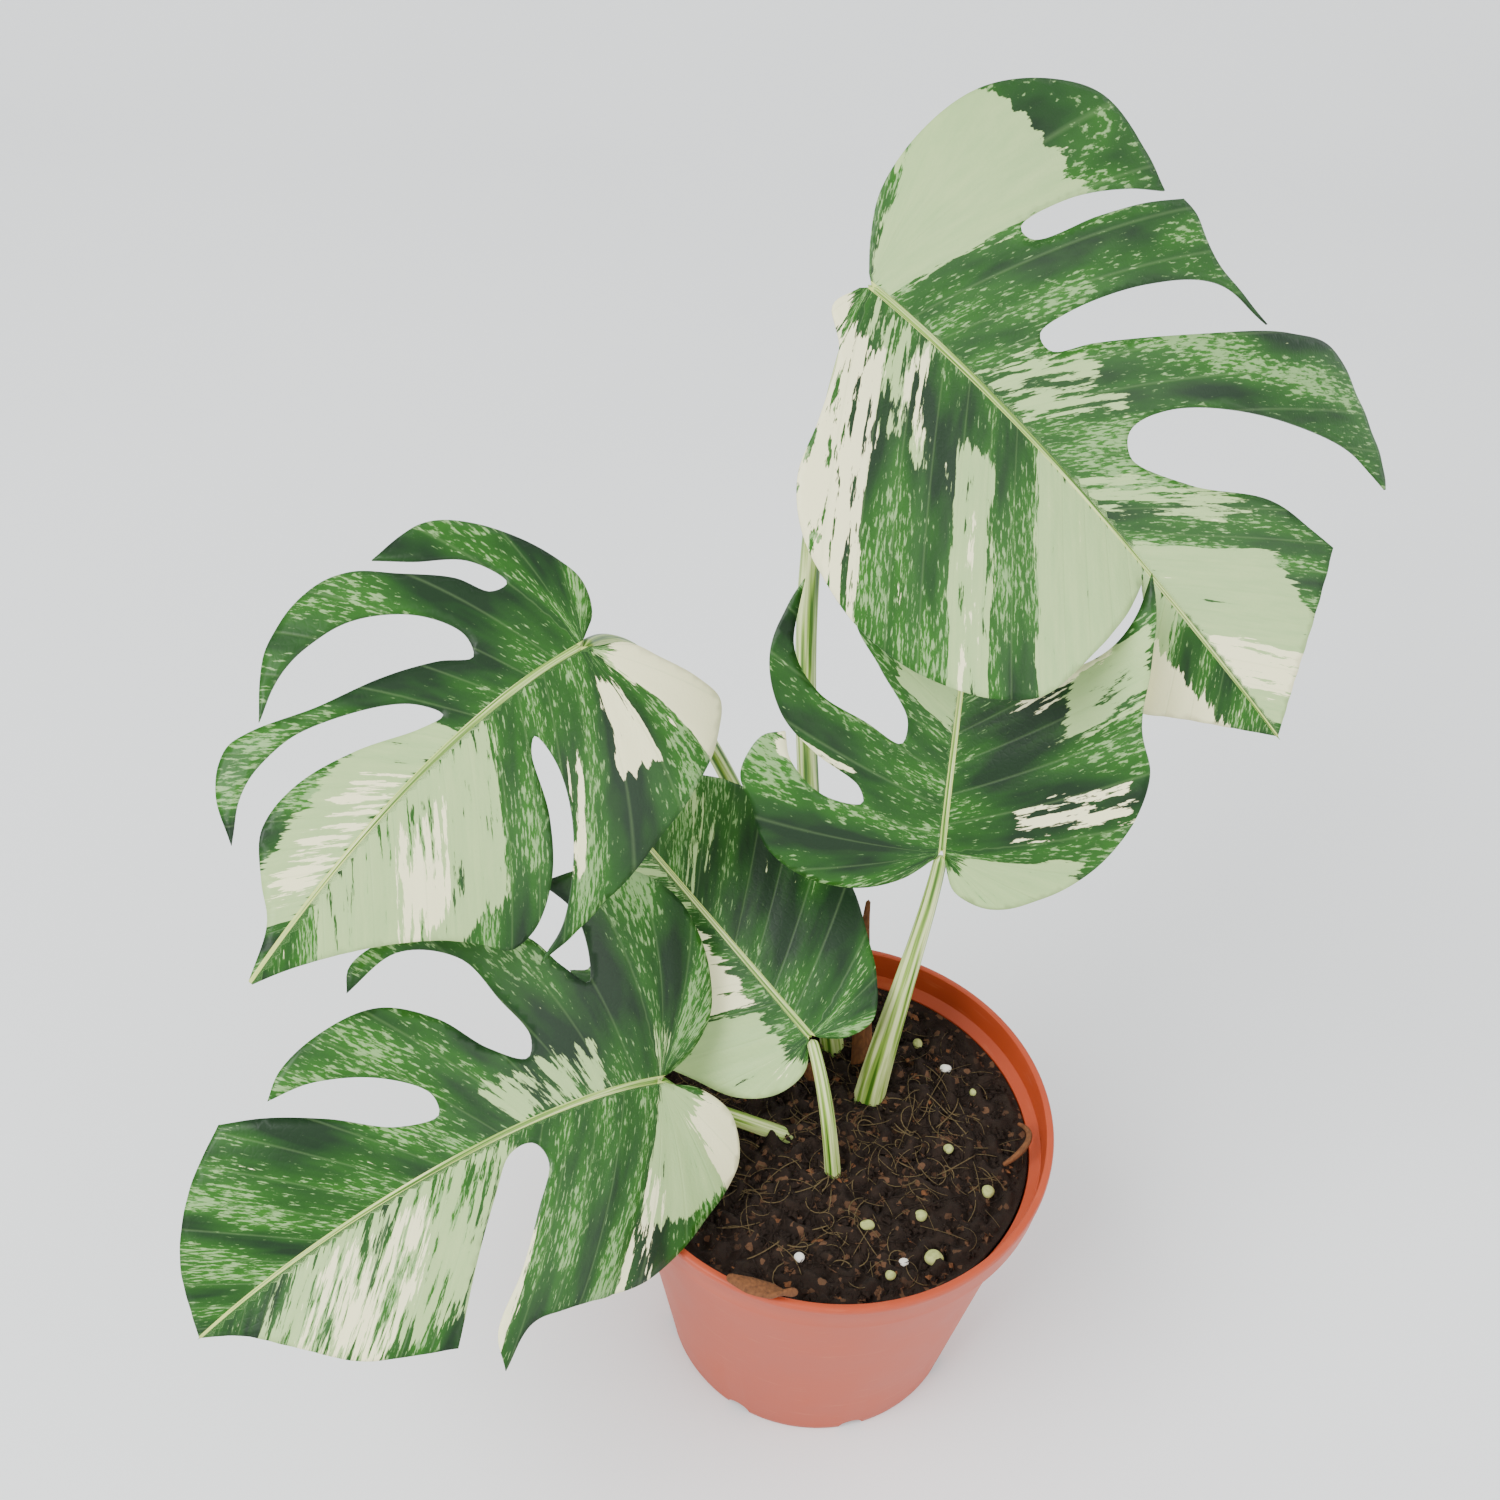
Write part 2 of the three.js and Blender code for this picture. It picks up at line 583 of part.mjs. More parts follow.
function grainGeometry([x, y, long, wide, high, turn], extra = 0) {
  const grain = new THREE.IcosahedronGeometry(1, 1)
    .scale(long / 2 + extra, wide / 2 + extra, high / 2 + extra)
    .rotateZ(THREE.MathUtils.degToRad(turn))
    .translate(x, y, soilTop(x, y) + high * GRAIN_SUNK);
  return closed(grain);
}

// The mix fills the pot with a small gap to the wall, and is cut away round everything that stands in it.
function soilGeometry() {
  const innerFoot = BASE_RADIUS - WALL;
  const innerTop = BODY_TOP_RADIUS - WALL;
  const low = FLOOR + FOOT_ROUND;
  const high = COLLAR_FOOT_Z - COLLAR_LEDGE / 2;
  const wallAt = (z) => THREE.MathUtils.mapLinear(z, low, high, innerFoot, innerTop) - FIT_GAP;
  const edge = wallAt(SOIL_LEVEL - SOIL_SHOULDER);
  const profile = [
    [0, FLOOR + FIT_GAP],
    [wallAt(FLOOR + 2) - 2.6, FLOOR + FIT_GAP],
    [wallAt(FLOOR + 3), FLOOR + 3],
    [edge, SOIL_LEVEL - SOIL_SHOULDER],
    [edge - 1.2, SOIL_LEVEL],
    ...[0.9, 0.79, 0.67, 0.55, 0.43, 0.3, 0.16, 0].map((share) => [edge * share, SOIL_LEVEL]),
  ];
  const filled = turned(profile, SOIL_SEGMENTS);
  const place = filled.attributes.position;
  for (let i = 0; i < place.count; i += 1) {
    const onTop = place.getZ(i) > SOIL_LEVEL - 0.01;
    if (onTop) place.setZ(i, soilTop(place.getX(i), place.getY(i)));
  }
  let soil = toManifold(filled);
  for (const [name, stalk] of Object.entries(STALKS)) {
    if (name !== "bark_chip") soil = soil.subtract(toManifold(stalkGeometry(stalk, FIT_GAP)));
  }
  for (const grain of Object.values(GRAINS)) soil = soil.subtract(toManifold(grainGeometry(grain, FIT_GAP)));
  return fromManifold(soil);
}

// ---------------------------------------------------------------- the plant
const LOOKS = {
  pot: { color: 0xb5604a, roughness: 0.45, metalness: 0 },
  soil: { color: 0x2a2019, roughness: 1, metalness: 0 },
  leaf: { color: 0x4d7a3a, roughness: 0.4, metalness: 0 },
  petiole: { color: 0x9db36a, roughness: 0.4, metalness: 0 },
  dry: { color: 0x6d4434, roughness: 0.85, metalness: 0 },
  pellet: { color: 0xb4b46a, roughness: 0.7, metalness: 0 },
  perlite: { color: 0xe6e2d6, roughness: 0.9, metalness: 0 },
};

const group = new THREE.Group();
group.name = "potted_monstera";

function addMesh(name, geometry, look) {
  const mesh = new THREE.Mesh(geometry, new THREE.MeshStandardMaterial(look));
  mesh.name = name;
  geometry.computeVertexNormals();
  group.add(mesh);
}

addMesh("pot", potGeometry(), LOOKS.pot);
addMesh("soil", soilGeometry(), LOOKS.soil);
for (const [name, leaf] of Object.entries(LEAVES)) {
  addMesh(`blade_${name}`, bladeGeometry(leaf), LOOKS.leaf);
}
for (const [name, stalk] of Object.entries(STALKS)) {
  addMesh(name, stalkGeometry(stalk), name.startsWith("petiole") ? LOOKS.petiole : LOOKS.dry);
}
for (const [name, grain] of Object.entries(GRAINS)) {
  addMesh(name, grainGeometry(grain), name.startsWith("pellet") ? LOOKS.pellet : LOOKS.perlite);
}

export default group;
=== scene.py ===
# %% [markdown]
# # A variegated monstera in a nursery pot
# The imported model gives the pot, the soil, the stalks and five leaf blades as plain closed solids. Here each
# one gets its finished surface in the same place: numpy works the shapes out as arrays, and node materials
# give them leaf, plastic and soil.

import math

import bpy
import numpy as np
from mathutils import Matrix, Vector
from mathutils.geometry import delaunay_2d_cdt


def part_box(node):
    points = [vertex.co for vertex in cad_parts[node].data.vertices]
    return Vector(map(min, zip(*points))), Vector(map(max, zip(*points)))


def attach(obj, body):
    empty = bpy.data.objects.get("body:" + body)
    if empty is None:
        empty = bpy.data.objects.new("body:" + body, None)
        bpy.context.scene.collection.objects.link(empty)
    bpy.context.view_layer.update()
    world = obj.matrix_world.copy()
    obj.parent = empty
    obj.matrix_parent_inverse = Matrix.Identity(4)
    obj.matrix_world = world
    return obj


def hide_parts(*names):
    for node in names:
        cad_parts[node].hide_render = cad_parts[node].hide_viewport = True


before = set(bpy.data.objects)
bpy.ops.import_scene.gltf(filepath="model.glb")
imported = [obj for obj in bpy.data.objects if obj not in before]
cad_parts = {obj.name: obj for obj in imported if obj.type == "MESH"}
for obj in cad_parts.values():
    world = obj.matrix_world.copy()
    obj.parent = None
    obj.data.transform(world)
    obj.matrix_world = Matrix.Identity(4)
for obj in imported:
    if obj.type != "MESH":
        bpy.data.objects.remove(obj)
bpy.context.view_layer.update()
MM = 0.001
dice = np.random.default_rng(7)
print("CAD nodes:", len(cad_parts))

# %% [markdown]
# ## Camera
# The plant is looked down on, from chest height and close by. The camera is set by its place, its tilt below
# the horizon and a slight roll, and its three axes are worked out from those.

# %% Camera
CAMERA_PLACE = (-0.038, -0.398, 0.665)
CAMERA_TILT = math.radians(41.4)
CAMERA_ROLL = math.atan(0.05)
LENS_MM = 40.8


def make_camera():
    """Right and down axes turned by the roll about the line of sight; Blender's camera looks along -Z."""
    sight = np.array([0, math.cos(CAMERA_TILT), -math.sin(CAMERA_TILT)])
    level = np.array([1.0, 0, 0])
    down = np.cross(sight, level)
    right = math.cos(CAMERA_ROLL) * level - math.sin(CAMERA_ROLL) * down
    below = math.sin(CAMERA_ROLL) * level + math.cos(CAMERA_ROLL) * down
    turn = Matrix(np.stack([right, -below, -sight], axis=1).tolist()).to_4x4()
    turn.translation = CAMERA_PLACE
    camera = bpy.data.objects.new("camera", bpy.data.cameras.new("camera"))
    camera.data.lens = LENS_MM
    camera.matrix_world = turn
    bpy.context.scene.collection.objects.link(camera)
    bpy.context.scene.camera = camera


make_camera()
print("camera at", CAMERA_PLACE)

# %% [markdown]
# ## Small helpers
# Colours are written as sRGB hex, as a paint chart gives them, and the shader wants linear light. One
# function adds a node, and one puts arrays into a mesh.

# %% Colour, node, material and mesh helpers
def linear(code):
    """sRGB hex to linear red, green, blue and alpha."""
    parts = [int(code[i:i + 2], 16) / 255 for i in (1, 3, 5)]
    light = [c / 12.92 if c <= 0.04045 else ((c + 0.055) / 1.055) ** 2.4 for c in parts]
    return (*light, 1.0)


def add(tree, kind, inputs=None, **settings):
    """Adds a node: settings are its properties, inputs maps each socket to a value or to another's output.

    kind is Blender's name for it without "ShaderNode". A Mix of colours has its share in socket 0 and the two
    colours in 6 and 7.
    """
    node = tree.nodes.new("ShaderNode" + kind)
    for key, value in settings.items():
        setattr(node, key, value)
    for key, value in (inputs or {}).items():
        if isinstance(value, bpy.types.NodeSocket):
            tree.links.new(value, node.inputs[key])
        else:
            node.inputs[key].default_value = value
    return node


def new_material(name, **sockets):
    """A Principled material with uniform numbers on its own sockets; Specular_IOR_Level means that socket."""
    made = bpy.data.materials.new(name)
    made.use_nodes = True
    shader = made.node_tree.nodes["Principled BSDF"]
    for key, value in sockets.items():
        shader.inputs[key.replace("_", " ")].default_value = value
    return made, made.node_tree, shader


def make_piece(name, points, faces, finish, replaced=(), smooth=True):
    """A mesh object in metres from points in millimetres, riding on the root body."""
    mesh = bpy.data.meshes.new(name)
    mesh.from_pydata((np.asarray(points) * MM).tolist(), [], [list(map(int, f)) for f in faces])
    mesh.polygons.foreach_set("use_smooth", np.full(len(mesh.polygons), smooth))
    mesh.materials.append(finish)
    piece = bpy.data.objects.new(name, mesh)
    bpy.context.scene.collection.objects.link(piece)
    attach(piece, "root")
    if replaced:
        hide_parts(*replaced)
    print(f"{name}: {len(points)} points, {len(faces)} faces")
    return piece


def grid_faces(rows, columns, first=0):
    """Quads of a grid of rows by columns that closes on itself sideways."""
    row, column = np.meshgrid(np.arange(rows - 1), np.arange(columns), indexing="ij")
    a = row * columns + column
    b = row * columns + (column + 1) % columns
    return (np.stack([a, b, b + columns, a + columns], -1) + first).reshape(-1, 4)


# %% [markdown]
# ## Leaf shape
# A monstera blade is a flat heart cut to fingers, hung on a bending midrib. So it is drawn flat first, in
# millimetres across and along the midrib. Each side vein then rises from the midrib and rolls under, and the
# whole flat outline is carried along. The values are the part's own, so the blades lie where the solids do.

# %% Leaf values
BLADES = {
    "a": {
        "midrib": [(-8, 100, 423), (40, 91, 390), (95, 71, 338), (143, 46, 290)],
        "face": [(0.15, -0.78, 0.62), (0.2, -0.78, 0.6)],
        "right": {
            "rise": [(-1, 5), (0, 12), (0.45, 18), (0.61, 22), (0.64, -24), (1, -26)],
            "start": 15,
            "curl": [(-1, 20), (0.5, 10), (0.6, 20), (1, 20)],
            "margin": [
                (3, -2, 1), (13, -6), (23, 3), (45, 10), (65, 15), (80, 29), (89, 54), (89, 80), (83, 101),
                (74, 118), (62, 130), (40, 135), (18, 136), (3, 133, 1), (10, 146), (24, 157), (37, 170, 1),
                (30, 178), (21, 186), (11, 196), (0, 207, 1),
            ],
        },
        "left": {
            "rise": [(-1, 0), (1, -5)],
            "start": 32,
            "curl": [(-1, 35), (0.3, 30), (0.6, 25), (1, 30)],
            "margin": [
                (-3, -2, 1), (-12, -8), (-26, -14), (-50, -14), (-75, -6), (-97, 12), (-108, 30), (-107, 48),
                (-99, 65, 1), (-87, 53), (-66, 37), (-47, 29), (-47, 34), (-70, 48), (-88, 60), (-103, 72, 1),
                (-103, 79), (-97, 89), (-97, 118, 1), (-91, 96), (-67, 73), (-38, 56), (-26, 53), (-25, 59),
                (-38, 69), (-68, 95), (-104, 128), (-121, 151), (-115, 170), (-104, 187), (-98, 190, 1),
                (-94, 170), (-69, 130), (-42, 102), (-27, 96), (-21, 102), (-31, 124), (-51, 150),
                (-60, 179, 1), (-42, 186), (-22, 195), (0, 207, 1),
            ],
        },
    },
    "b": {
        "midrib": [(-95, 45, 317), (-130, 12, 315), (-163, -34, 292), (-187, -61, 263)],
        "face": [(0.25, -0.5, 0.8), (0.2, -0.6, 0.75)],
        "right": {
            "rise": [(-1, 5), (1, 0)],
            "start": 22,
            "curl": [(-1, 45), (1, 45)],
            "margin": [
                (2, -2, 1), (8, -9), (20, -12), (38, -4), (53, 8), (62, 22), (61, 41, 1), (52, 31), (43, 18),
                (30, 11), (30, 17), (40, 24), (52, 37), (62, 48), (66, 60), (61, 79), (46, 94, 1), (52, 79),
                (50, 58), (38, 40), (23, 31), (16, 33), (22, 43), (30, 61), (36, 78), (46, 98), (48, 106),
                (42, 116), (28, 124, 1), (36, 110), (36, 92), (29, 75), (17, 57), (8, 52), (10, 61), (19, 80),
                (25, 100), (24, 115), (15, 126), (6, 135), (0, 154, 1),
            ],
        },
        "left": {
            "rise": [(-1, -5), (1, -5)],
            "start": 18,
            "curl": [(-1, 50), (1, 40)],
            "margin": [
                (-2, -3, 1), (-6, -15), (-16, -24), (-28, -34), (-38, -39), (-50, -30), (-61, -13), (-70, 9),
                (-78, 30), (-80, 52), (-78, 75, 1), (-74, 60), (-62, 47), (-46, 37), (-28, 32), (-16, 33),
                (-20, 38), (-40, 45), (-57, 56), (-66, 72), (-64, 85), (-54, 93), (-41, 104), (-24, 122),
                (-8, 142), (0, 154, 1),
            ],
        },
    },
    "c": {
        "midrib": [(-64, -22, 175), (-103, -54, 204), (-166, -98, 192), (-205, -121, 158)],
        "face": [(0.22, -0.62, 0.75), (0.05, -0.6, 0.78)],
        "right": {
            "rise": [(-1, 12), (1, 5)],
            "start": 20,
            "curl": [(-1, 20), (0, 35), (1, 40)],
            "margin": [
                (2, -4, 1), (9, -14), (24, -23), (44, -21), (62, -12), (73, 4), (77, 24), (74, 44, 1),
                (62, 34), (46, 29), (38, 29), (46, 38), (58, 48), (68, 68), (72, 88), (69, 97), (62, 99, 1),
                (67, 84),
                (58, 67), (41, 57), (26, 49), (20, 51), (28, 63), (43, 76), (54, 92), (55, 108), (51, 122),
                (45, 128, 1), (43, 115), (34, 96), (22, 83), (15, 83), (18, 96), (31, 114), (41, 130),
                (47, 143, 1), (36, 158), (22, 170), (8, 177), (0, 181, 1),
            ],
        },
        "left": {
            "rise": [(-1, 8), (0.3, 4), (1, -3)],
            "start": 18,
            "curl": [(-1, 25), (1, 25)],
            "margin": [
                (-2, -4, 1), (-5, -17), (-17, -32), (-34, -33), (-51, -15), (-65, 8), (-69, 27), (-65, 55),
                (-63, 76), (-73, 88, 1), (-59, 89), (-44, 75), (-28, 63), (-15, 54), (-7, 57), (-7, 66),
                (-17, 76), (-35, 91), (-56, 105, 1), (-49, 122), (-40, 139), (-22, 157), (-9, 169),
                (0, 181, 1),
            ],
        },
    },
    "d": {
        "midrib": [(32, 34, 240), (32, 46, 275), (36, 74, 316), (38, 105, 345)],
        "face": [(-0.1, -0.8, 0.6), (-0.1, -0.7, 0.7)],
        "right": {
            "rise": [(-1, 8), (0, 18), (1, 14)],
            "start": 15,
            "curl": [(-1, 0), (1, 0)],
            "margin": [
                (1, -2, 1), (6, -14), (20, -18), (37, -10), (53, 5), (65, 28), (68, 46), (63, 60), (63, 80),
                (62, 98), (59, 109, 1), (56, 95), (49, 83), (37, 74), (23, 70), (21, 77), (28, 92), (25, 108),
                (12, 121), (0, 128, 1),
            ],
        },
        "left": {
            "rise": [(-1, 10), (0, 20), (1, 20)],
            "start": 15,
            "curl": [(-1, 10), (1, -10)],
            "margin": [
                (-2, -2, 1), (-14, -10), (-31, -13), (-49, -8), (-64, 5), (-71, 25), (-75, 37), (-69, 47),
                (-61, 48, 1), (-58, 38), (-45, 25), (-31, 21), (-33, 27), (-50, 40), (-63, 54), (-69, 73),
                (-65, 88), (-60, 97, 1), (-61, 75), (-51, 60), (-33, 49), (-19, 41), (-18, 49), (-30, 67),
                (-41, 84), (-38, 101), (-18, 118), (0, 128, 1),
            ],
        },
    },
    "e": {
        "midrib": [(-10, 3, 172), (-30, 20, 185), (-64, 48, 206), (-92, 78, 218)],
        "face": [(0.15, -0.7, 0.7), (0.1, -0.7, 0.7)],
        "right": {
            "rise": [(-1, 5), (1, 0)],
            "start": 15,
            "curl": [(-1, 30), (1, 30)],
            "margin": [
                (2, -2, 1), (9, -8), (21, -10), (32, 0), (41, 16), (49, 34), (51, 52), (48, 70), (43, 88),
                (33, 103), (17, 114), (0, 120, 1),
            ],
        },
        "left": {
            "rise": [(-1, -13), (1, -13)],
            "start": 10,
            "curl": [(-1, 20), (1, 20)],
            "margin": [
                (-3, -2, 1), (-10, -8), (-23, -8), (-36, 1), (-45, 18), (-54, 38), (-58, 58), (-55, 82, 1),
                (-48, 77), (-40, 88), (-30, 104), (-15, 115), (0, 120, 1),
            ],
        },
    },
}
VEIN_SWEEP = 0.0015
VEIN_C0 = 1 / math.tan(math.radians(72))
VEIN_C1 = 1 / math.tan(math.radians(35)) - VEIN_C0
FAN_ANGLE = math.atan2(1, VEIN_C0)

# %% Midrib and side veins
def unit(rows):
    """Each row divided by its own length."""
    return rows / np.linalg.norm(rows, axis=-1, keepdims=True)


def cubic(points, t):
    """Place and direction on a cubic Bezier: the sum of its points weighted by powers of t and 1 - t."""
    p = np.array(points, float)
    t = np.asarray(t, float)[:, None]
    s = 1 - t
    place = s**3 * p[0] + 3 * s * s * t * p[1] + 3 * s * t * t * p[2] + t**3 * p[3]
    slope = 3 * (s * s * (p[1] - p[0]) + 2 * s * t * (p[2] - p[1]) + t * t * (p[3] - p[2]))
    return place, unit(slope)


def by_length(points, samples=400):
    """Table of the curve's parameter against the length run so far, and the whole length."""
    t = np.linspace(0, 1, samples + 1)
    place, _ = cubic(points, t)
    run = np.concatenate([[0], np.cumsum(np.linalg.norm(np.diff(place, axis=0), axis=1))])
    return t, run, run[-1]


def axes_at(blade, y):
    """Point, along, up and across at the lengths y on the midrib; up leans evenly from base to apex."""
    t, run, length = by_length(blade["midrib"])
    inside = np.clip(y, 0, length)
    point, along = cubic(blade["midrib"], np.interp(inside, run, t))
    share = (inside / length)[:, None]
    up = (1 - share) * np.array(blade["face"][0]) + share * np.array(blade["face"][1])
    up = unit(up - along * np.sum(up * along, axis=1, keepdims=True))
    return point, along, up, np.cross(along, up)


def veins_of(x, y, length):
    """Which side vein a flat place is on: where it leaves the midrib, its angle, and the distance out."""
    wide = np.abs(x)
    level = y - VEIN_SWEEP * wide * wide
    root = (level - VEIN_C0 * wide) / (1 + VEIN_C1 * wide / length)
    origin = np.maximum(root, 0)
    angle = np.arctan2(wide, level - origin)
    out = np.hypot(wide, level - origin)
    place = np.where(root > 0, root / length, -(angle - FAN_ANGLE) / (math.pi - FAN_ANGLE))
    return origin, angle, out, place


def leaf_points(blade, x, y):
    """Bends flat places: out along a straight rise, then round an arc that rolls under."""
    length = by_length(blade["midrib"])[2]
    origin, angle, out, place = veins_of(x, y, length)
    point, along, up, across = axes_at(blade, origin)
    keys = lambda name: [np.array(blade[half][name]).T for half in ("right", "left")]
    pick = lambda pair: np.where(x >= 0, np.interp(place, *pair[0]), np.interp(place, *pair[1]))
    rise = np.radians(pick(keys("rise")))
    curl = np.radians(pick(keys("curl"))) / 100
    curl = np.where(np.abs(curl) < 1e-6, 1e-6, curl)
    start = np.where(x >= 0, blade["right"]["start"], blade["left"]["start"])
    straight = np.minimum(out, start)
    rolled = np.maximum(out - start, 0)
    run = straight * np.cos(rise) + (np.sin(rise) - np.sin(rise - curl * rolled)) / curl
    lift = straight * np.sin(rise) + (np.cos(rise - curl * rolled) - np.cos(rise)) / curl
    sideways = (run * np.sin(angle) * np.where(x >= 0, 1, -1))[:, None]
    forward = (run * np.cos(angle) + VEIN_SWEEP * x * x)[:, None]
    return point + across * sideways + along * forward + up * lift[:, None]


print("blades:", {name: round(by_length(blade["midrib"])[2]) for name, blade in BLADES.items()})

# %% [markdown]
# The margin is a smooth curve through a few points and breaks at sharp corners. Blender's own constrained
# Delaunay fills it with even triangles that keep to the cuts, which a plain grid can't follow.

# %% Outline and flat triangles
EDGE_STEP = 1.6
LATTICE_STEP = 2.7
RIB_STEP = 2


def smooth_run(corners):
    """Centripetal Catmull-Rom curve through the corners, in even steps of about EDGE_STEP."""
    p = np.array([c[:2] for c in corners], float)
    p = np.vstack([2 * p[0] - p[1], p, 2 * p[-1] - p[-2]])
    u = np.linspace(0, 1, 24, endpoint=False)[:, None]
    parts = []
    for a, b, c, d in zip(p[:-3], p[1:-2], p[2:-1], p[3:]):
        gap = [math.sqrt(np.linalg.norm(q - r)) for q, r in ((b, a), (c, b), (d, c))]
        leave = ((b - a) / gap[0] - (c - a) / (gap[0] + gap[1]) + (c - b) / gap[1]) * gap[1]
        arrive = ((c - b) / gap[1] - (d - b) / (gap[1] + gap[2]) + (d - c) / gap[2]) * gap[1]
        shape = (2 * u**3 - 3 * u**2 + 1) * b + (u**3 - 2 * u**2 + u) * leave
        parts.append(shape + (3 * u**2 - 2 * u**3) * c + (u**3 - u**2) * arrive)
    line = np.vstack([*parts, p[-2:-1]])
    run = np.concatenate([[0], np.cumsum(np.linalg.norm(np.diff(line, axis=0), axis=1))])
    even = np.linspace(0, run[-1], max(3, round(run[-1] / EDGE_STEP)) + 1)
    return np.stack([np.interp(even, run, line[:, k]) for k in (0, 1)], axis=1)


def margin_line(margin):
    """Joins the smooth runs between sharp corners, which carry a third value."""
    breaks = [i for i, corner in enumerate(margin) if len(corner) > 2]
    runs = [smooth_run(margin[i:j + 1]) for i, j in zip(breaks[:-1], breaks[1:])]
    return np.vstack([runs[0], *[run[1:] for run in runs[1:]]])


def inside_of(outline, points):
    """Even and odd crossings of a line to the right, for all points at once."""
    x, y = points[:, 0:1], points[:, 1:2]
    ax, ay = outline.T
    bx, by = np.roll(outline, 1, axis=0).T
    crosses = (ay > y) != (by > y)
    where = ax + (bx - ax) * (y - ay) / np.where(by == ay, 1e-12, by - ay)
    return (crosses & (x < where)).sum(axis=1) % 2 == 1


def flat_net(blade):
    """Points of the outline, the midrib and a hexagonal lattice, and the triangles between them."""
    length = by_length(blade["midrib"])[2]
    right = margin_line(blade["right"]["margin"])
    left = margin_line(blade["left"]["margin"])[:-1][::-1]
    outline = np.vstack([[[0, 1.5]], right, left])
    rib = np.stack([np.zeros(400), np.linspace(3, length - 3, 400)], axis=1)
    rib = rib[::max(1, round(400 * RIB_STEP / length))]
    row, column = np.meshgrid(np.arange(-30, 100), np.arange(-60, 61), indexing="ij")
    lattice = np.stack([(column + 0.5 * (row % 2)) * LATTICE_STEP, row * LATTICE_STEP * math.sqrt(0.75)], -1)
    lattice = lattice.reshape(-1, 2)
    lattice = lattice[np.abs(lattice[:, 0]) > 1.2]
    lattice = lattice[inside_of(outline, lattice)]
    near = np.min(np.linalg.norm(lattice[:, None] - outline[None], axis=2), axis=1)
    points = np.vstack([outline, rib, lattice[near > EDGE_STEP * 0.7]])
    count = len(outline)
    edges = [(i, (i + 1) % count) for i in range(count)]
    made = delaunay_2d_cdt(points.tolist(), edges, [], 1, 1e-5)
    return np.array([p[:] for p in made[0]]), np.array([f[:3] for f in made[2]])


# %% [markdown]
# ## Leaf colour
# Each cell line that lost its green runs out from the midrib as a streak, so patches follow the side veins
# and have ragged ends. The big patches are placed on each half, by where they start along the midrib and
# how far out they reach. The shader then frays their edges with noise stretched along the veins.

# %% Patches: half, from and to along the midrib, from and to outwards (mm), and how strong
PATCHES = {
    "a": {
        "cream": [("right", -63, -14, 8, 60, 0.95), ("right", -12, 12, 14, 100, 0.66),
                  ("right", 46, 52, 40, 110, 0.5), ("right", 18, 30, 4, 34, 0.5),
                  ("right", 130, 190, 18, 60, 1.0), ("left", 160, 185, 0, 60, 0.7)],
        "sage": [("left", -24, 8, 0, 78, 0.95), ("right", 76, 130, 0, 110, 0.95),
                 ("right", 42, 58, 20, 120, 0.8), ("right", 0, 30, 0, 40, 0.5),
                 ("left", 120, 200, 0, 55, 0.95), ("left", 40, 70, 0, 40, 0.5),
                 ("left", 90, 110, 0, 60, 0.5), ("right", 130, 150, 0, 30, 0.9)],
    },
    "b": {
        "cream": [("left", -75, -27, 10, 80, 1.0), ("left", -16, -4, 12, 45, 0.95),
                  ("left", 8, 14, 30, 70, 0.6), ("left", 62, 84, 10, 50, 0.6),
                  ("right", 70, 120, 0, 20, 0.5)],
        "sage": [("left", 40, 120, 0, 60, 0.75), ("right", 50, 130, 0, 26, 0.9),
                 ("left", -40, -24, 0, 20, 0.7)],
    },
    "c": {
        "cream": [("left", -60, -30, 18, 60, 0.85), ("left", -8, 2, 30, 75, 0.5),
                  ("left", 44, 60, 22, 80, 0.95), ("left", 84, 130, 8, 70, 0.5)],
        "sage": [("left", -50, 0, 0, 50, 0.85), ("left", 60, 150, 0, 60, 0.6), ("right", 20, 60, 0, 22, 0.6),
                 ("right", -20, 0, 0, 20, 0.4)],
    },
    "d": {
        "cream": [("right", 0, 12, 25, 70, 0.55), ("left", 8, 16, 40, 70, 0.6),
                  ("right", 40, 52, 20, 60, 0.5)],
        "sage": [("right", -60, -8, 8, 50, 0.85), ("left", 44, 110, 0, 30, 0.95),
                 ("right", 60, 110, 0, 30, 0.7), ("right", 26, 44, 45, 75, 0.8)],
    },
    "e": {
        "cream": [("left", 18, 60, 8, 55, 0.85), ("left", -20, -6, 8, 22, 0.4)],
        "sage": [("left", -60, 18, 10, 55, 0.85), ("left", 60, 90, 0, 40, 0.5),
                 ("right", 60, 75, 0, 40, 0.4)],
    },
}
PATCH_SOFTNESS = 5.0
FAN_RUN = 45.0
FAN_SPREAD = 1.4


def vein_place(x, y, length):
    """Millimetres along the midrib where a place's vein starts, counted backwards round the basal fan."""
    origin, _, out, place = veins_of(x, y, length)
    return np.where(place >= 0, origin, place * FAN_RUN * FAN_SPREAD), out


def patch_amount(patches, x, along, out):
    """Each patch is full between its limits and fades over PATCH_SOFTNESS; the strongest one counts."""
    amount = np.zeros(len(x))
    for half, start, stop, near, far, strength in patches:
        side = (x >= 0) == (half == "right")
        edge = np.minimum.reduce([along - start, stop - along, (out - near) * 0.6, (far - out) * 0.6])
        amount = np.maximum(amount, side * strength * np.clip(edge / PATCH_SOFTNESS + 0.5, 0, 1))
    return amount


# %% Leaf material
GREEN_DEEP = linear("#0b2a0c")
GREEN_LEAF = linear("#2c6a12")
SAGE = linear("#94b877")
SAGE_PALE = linear("#bed48e")
CREAM = linear("#fffbc8")
RIB_PALE = linear("#d3e07c")


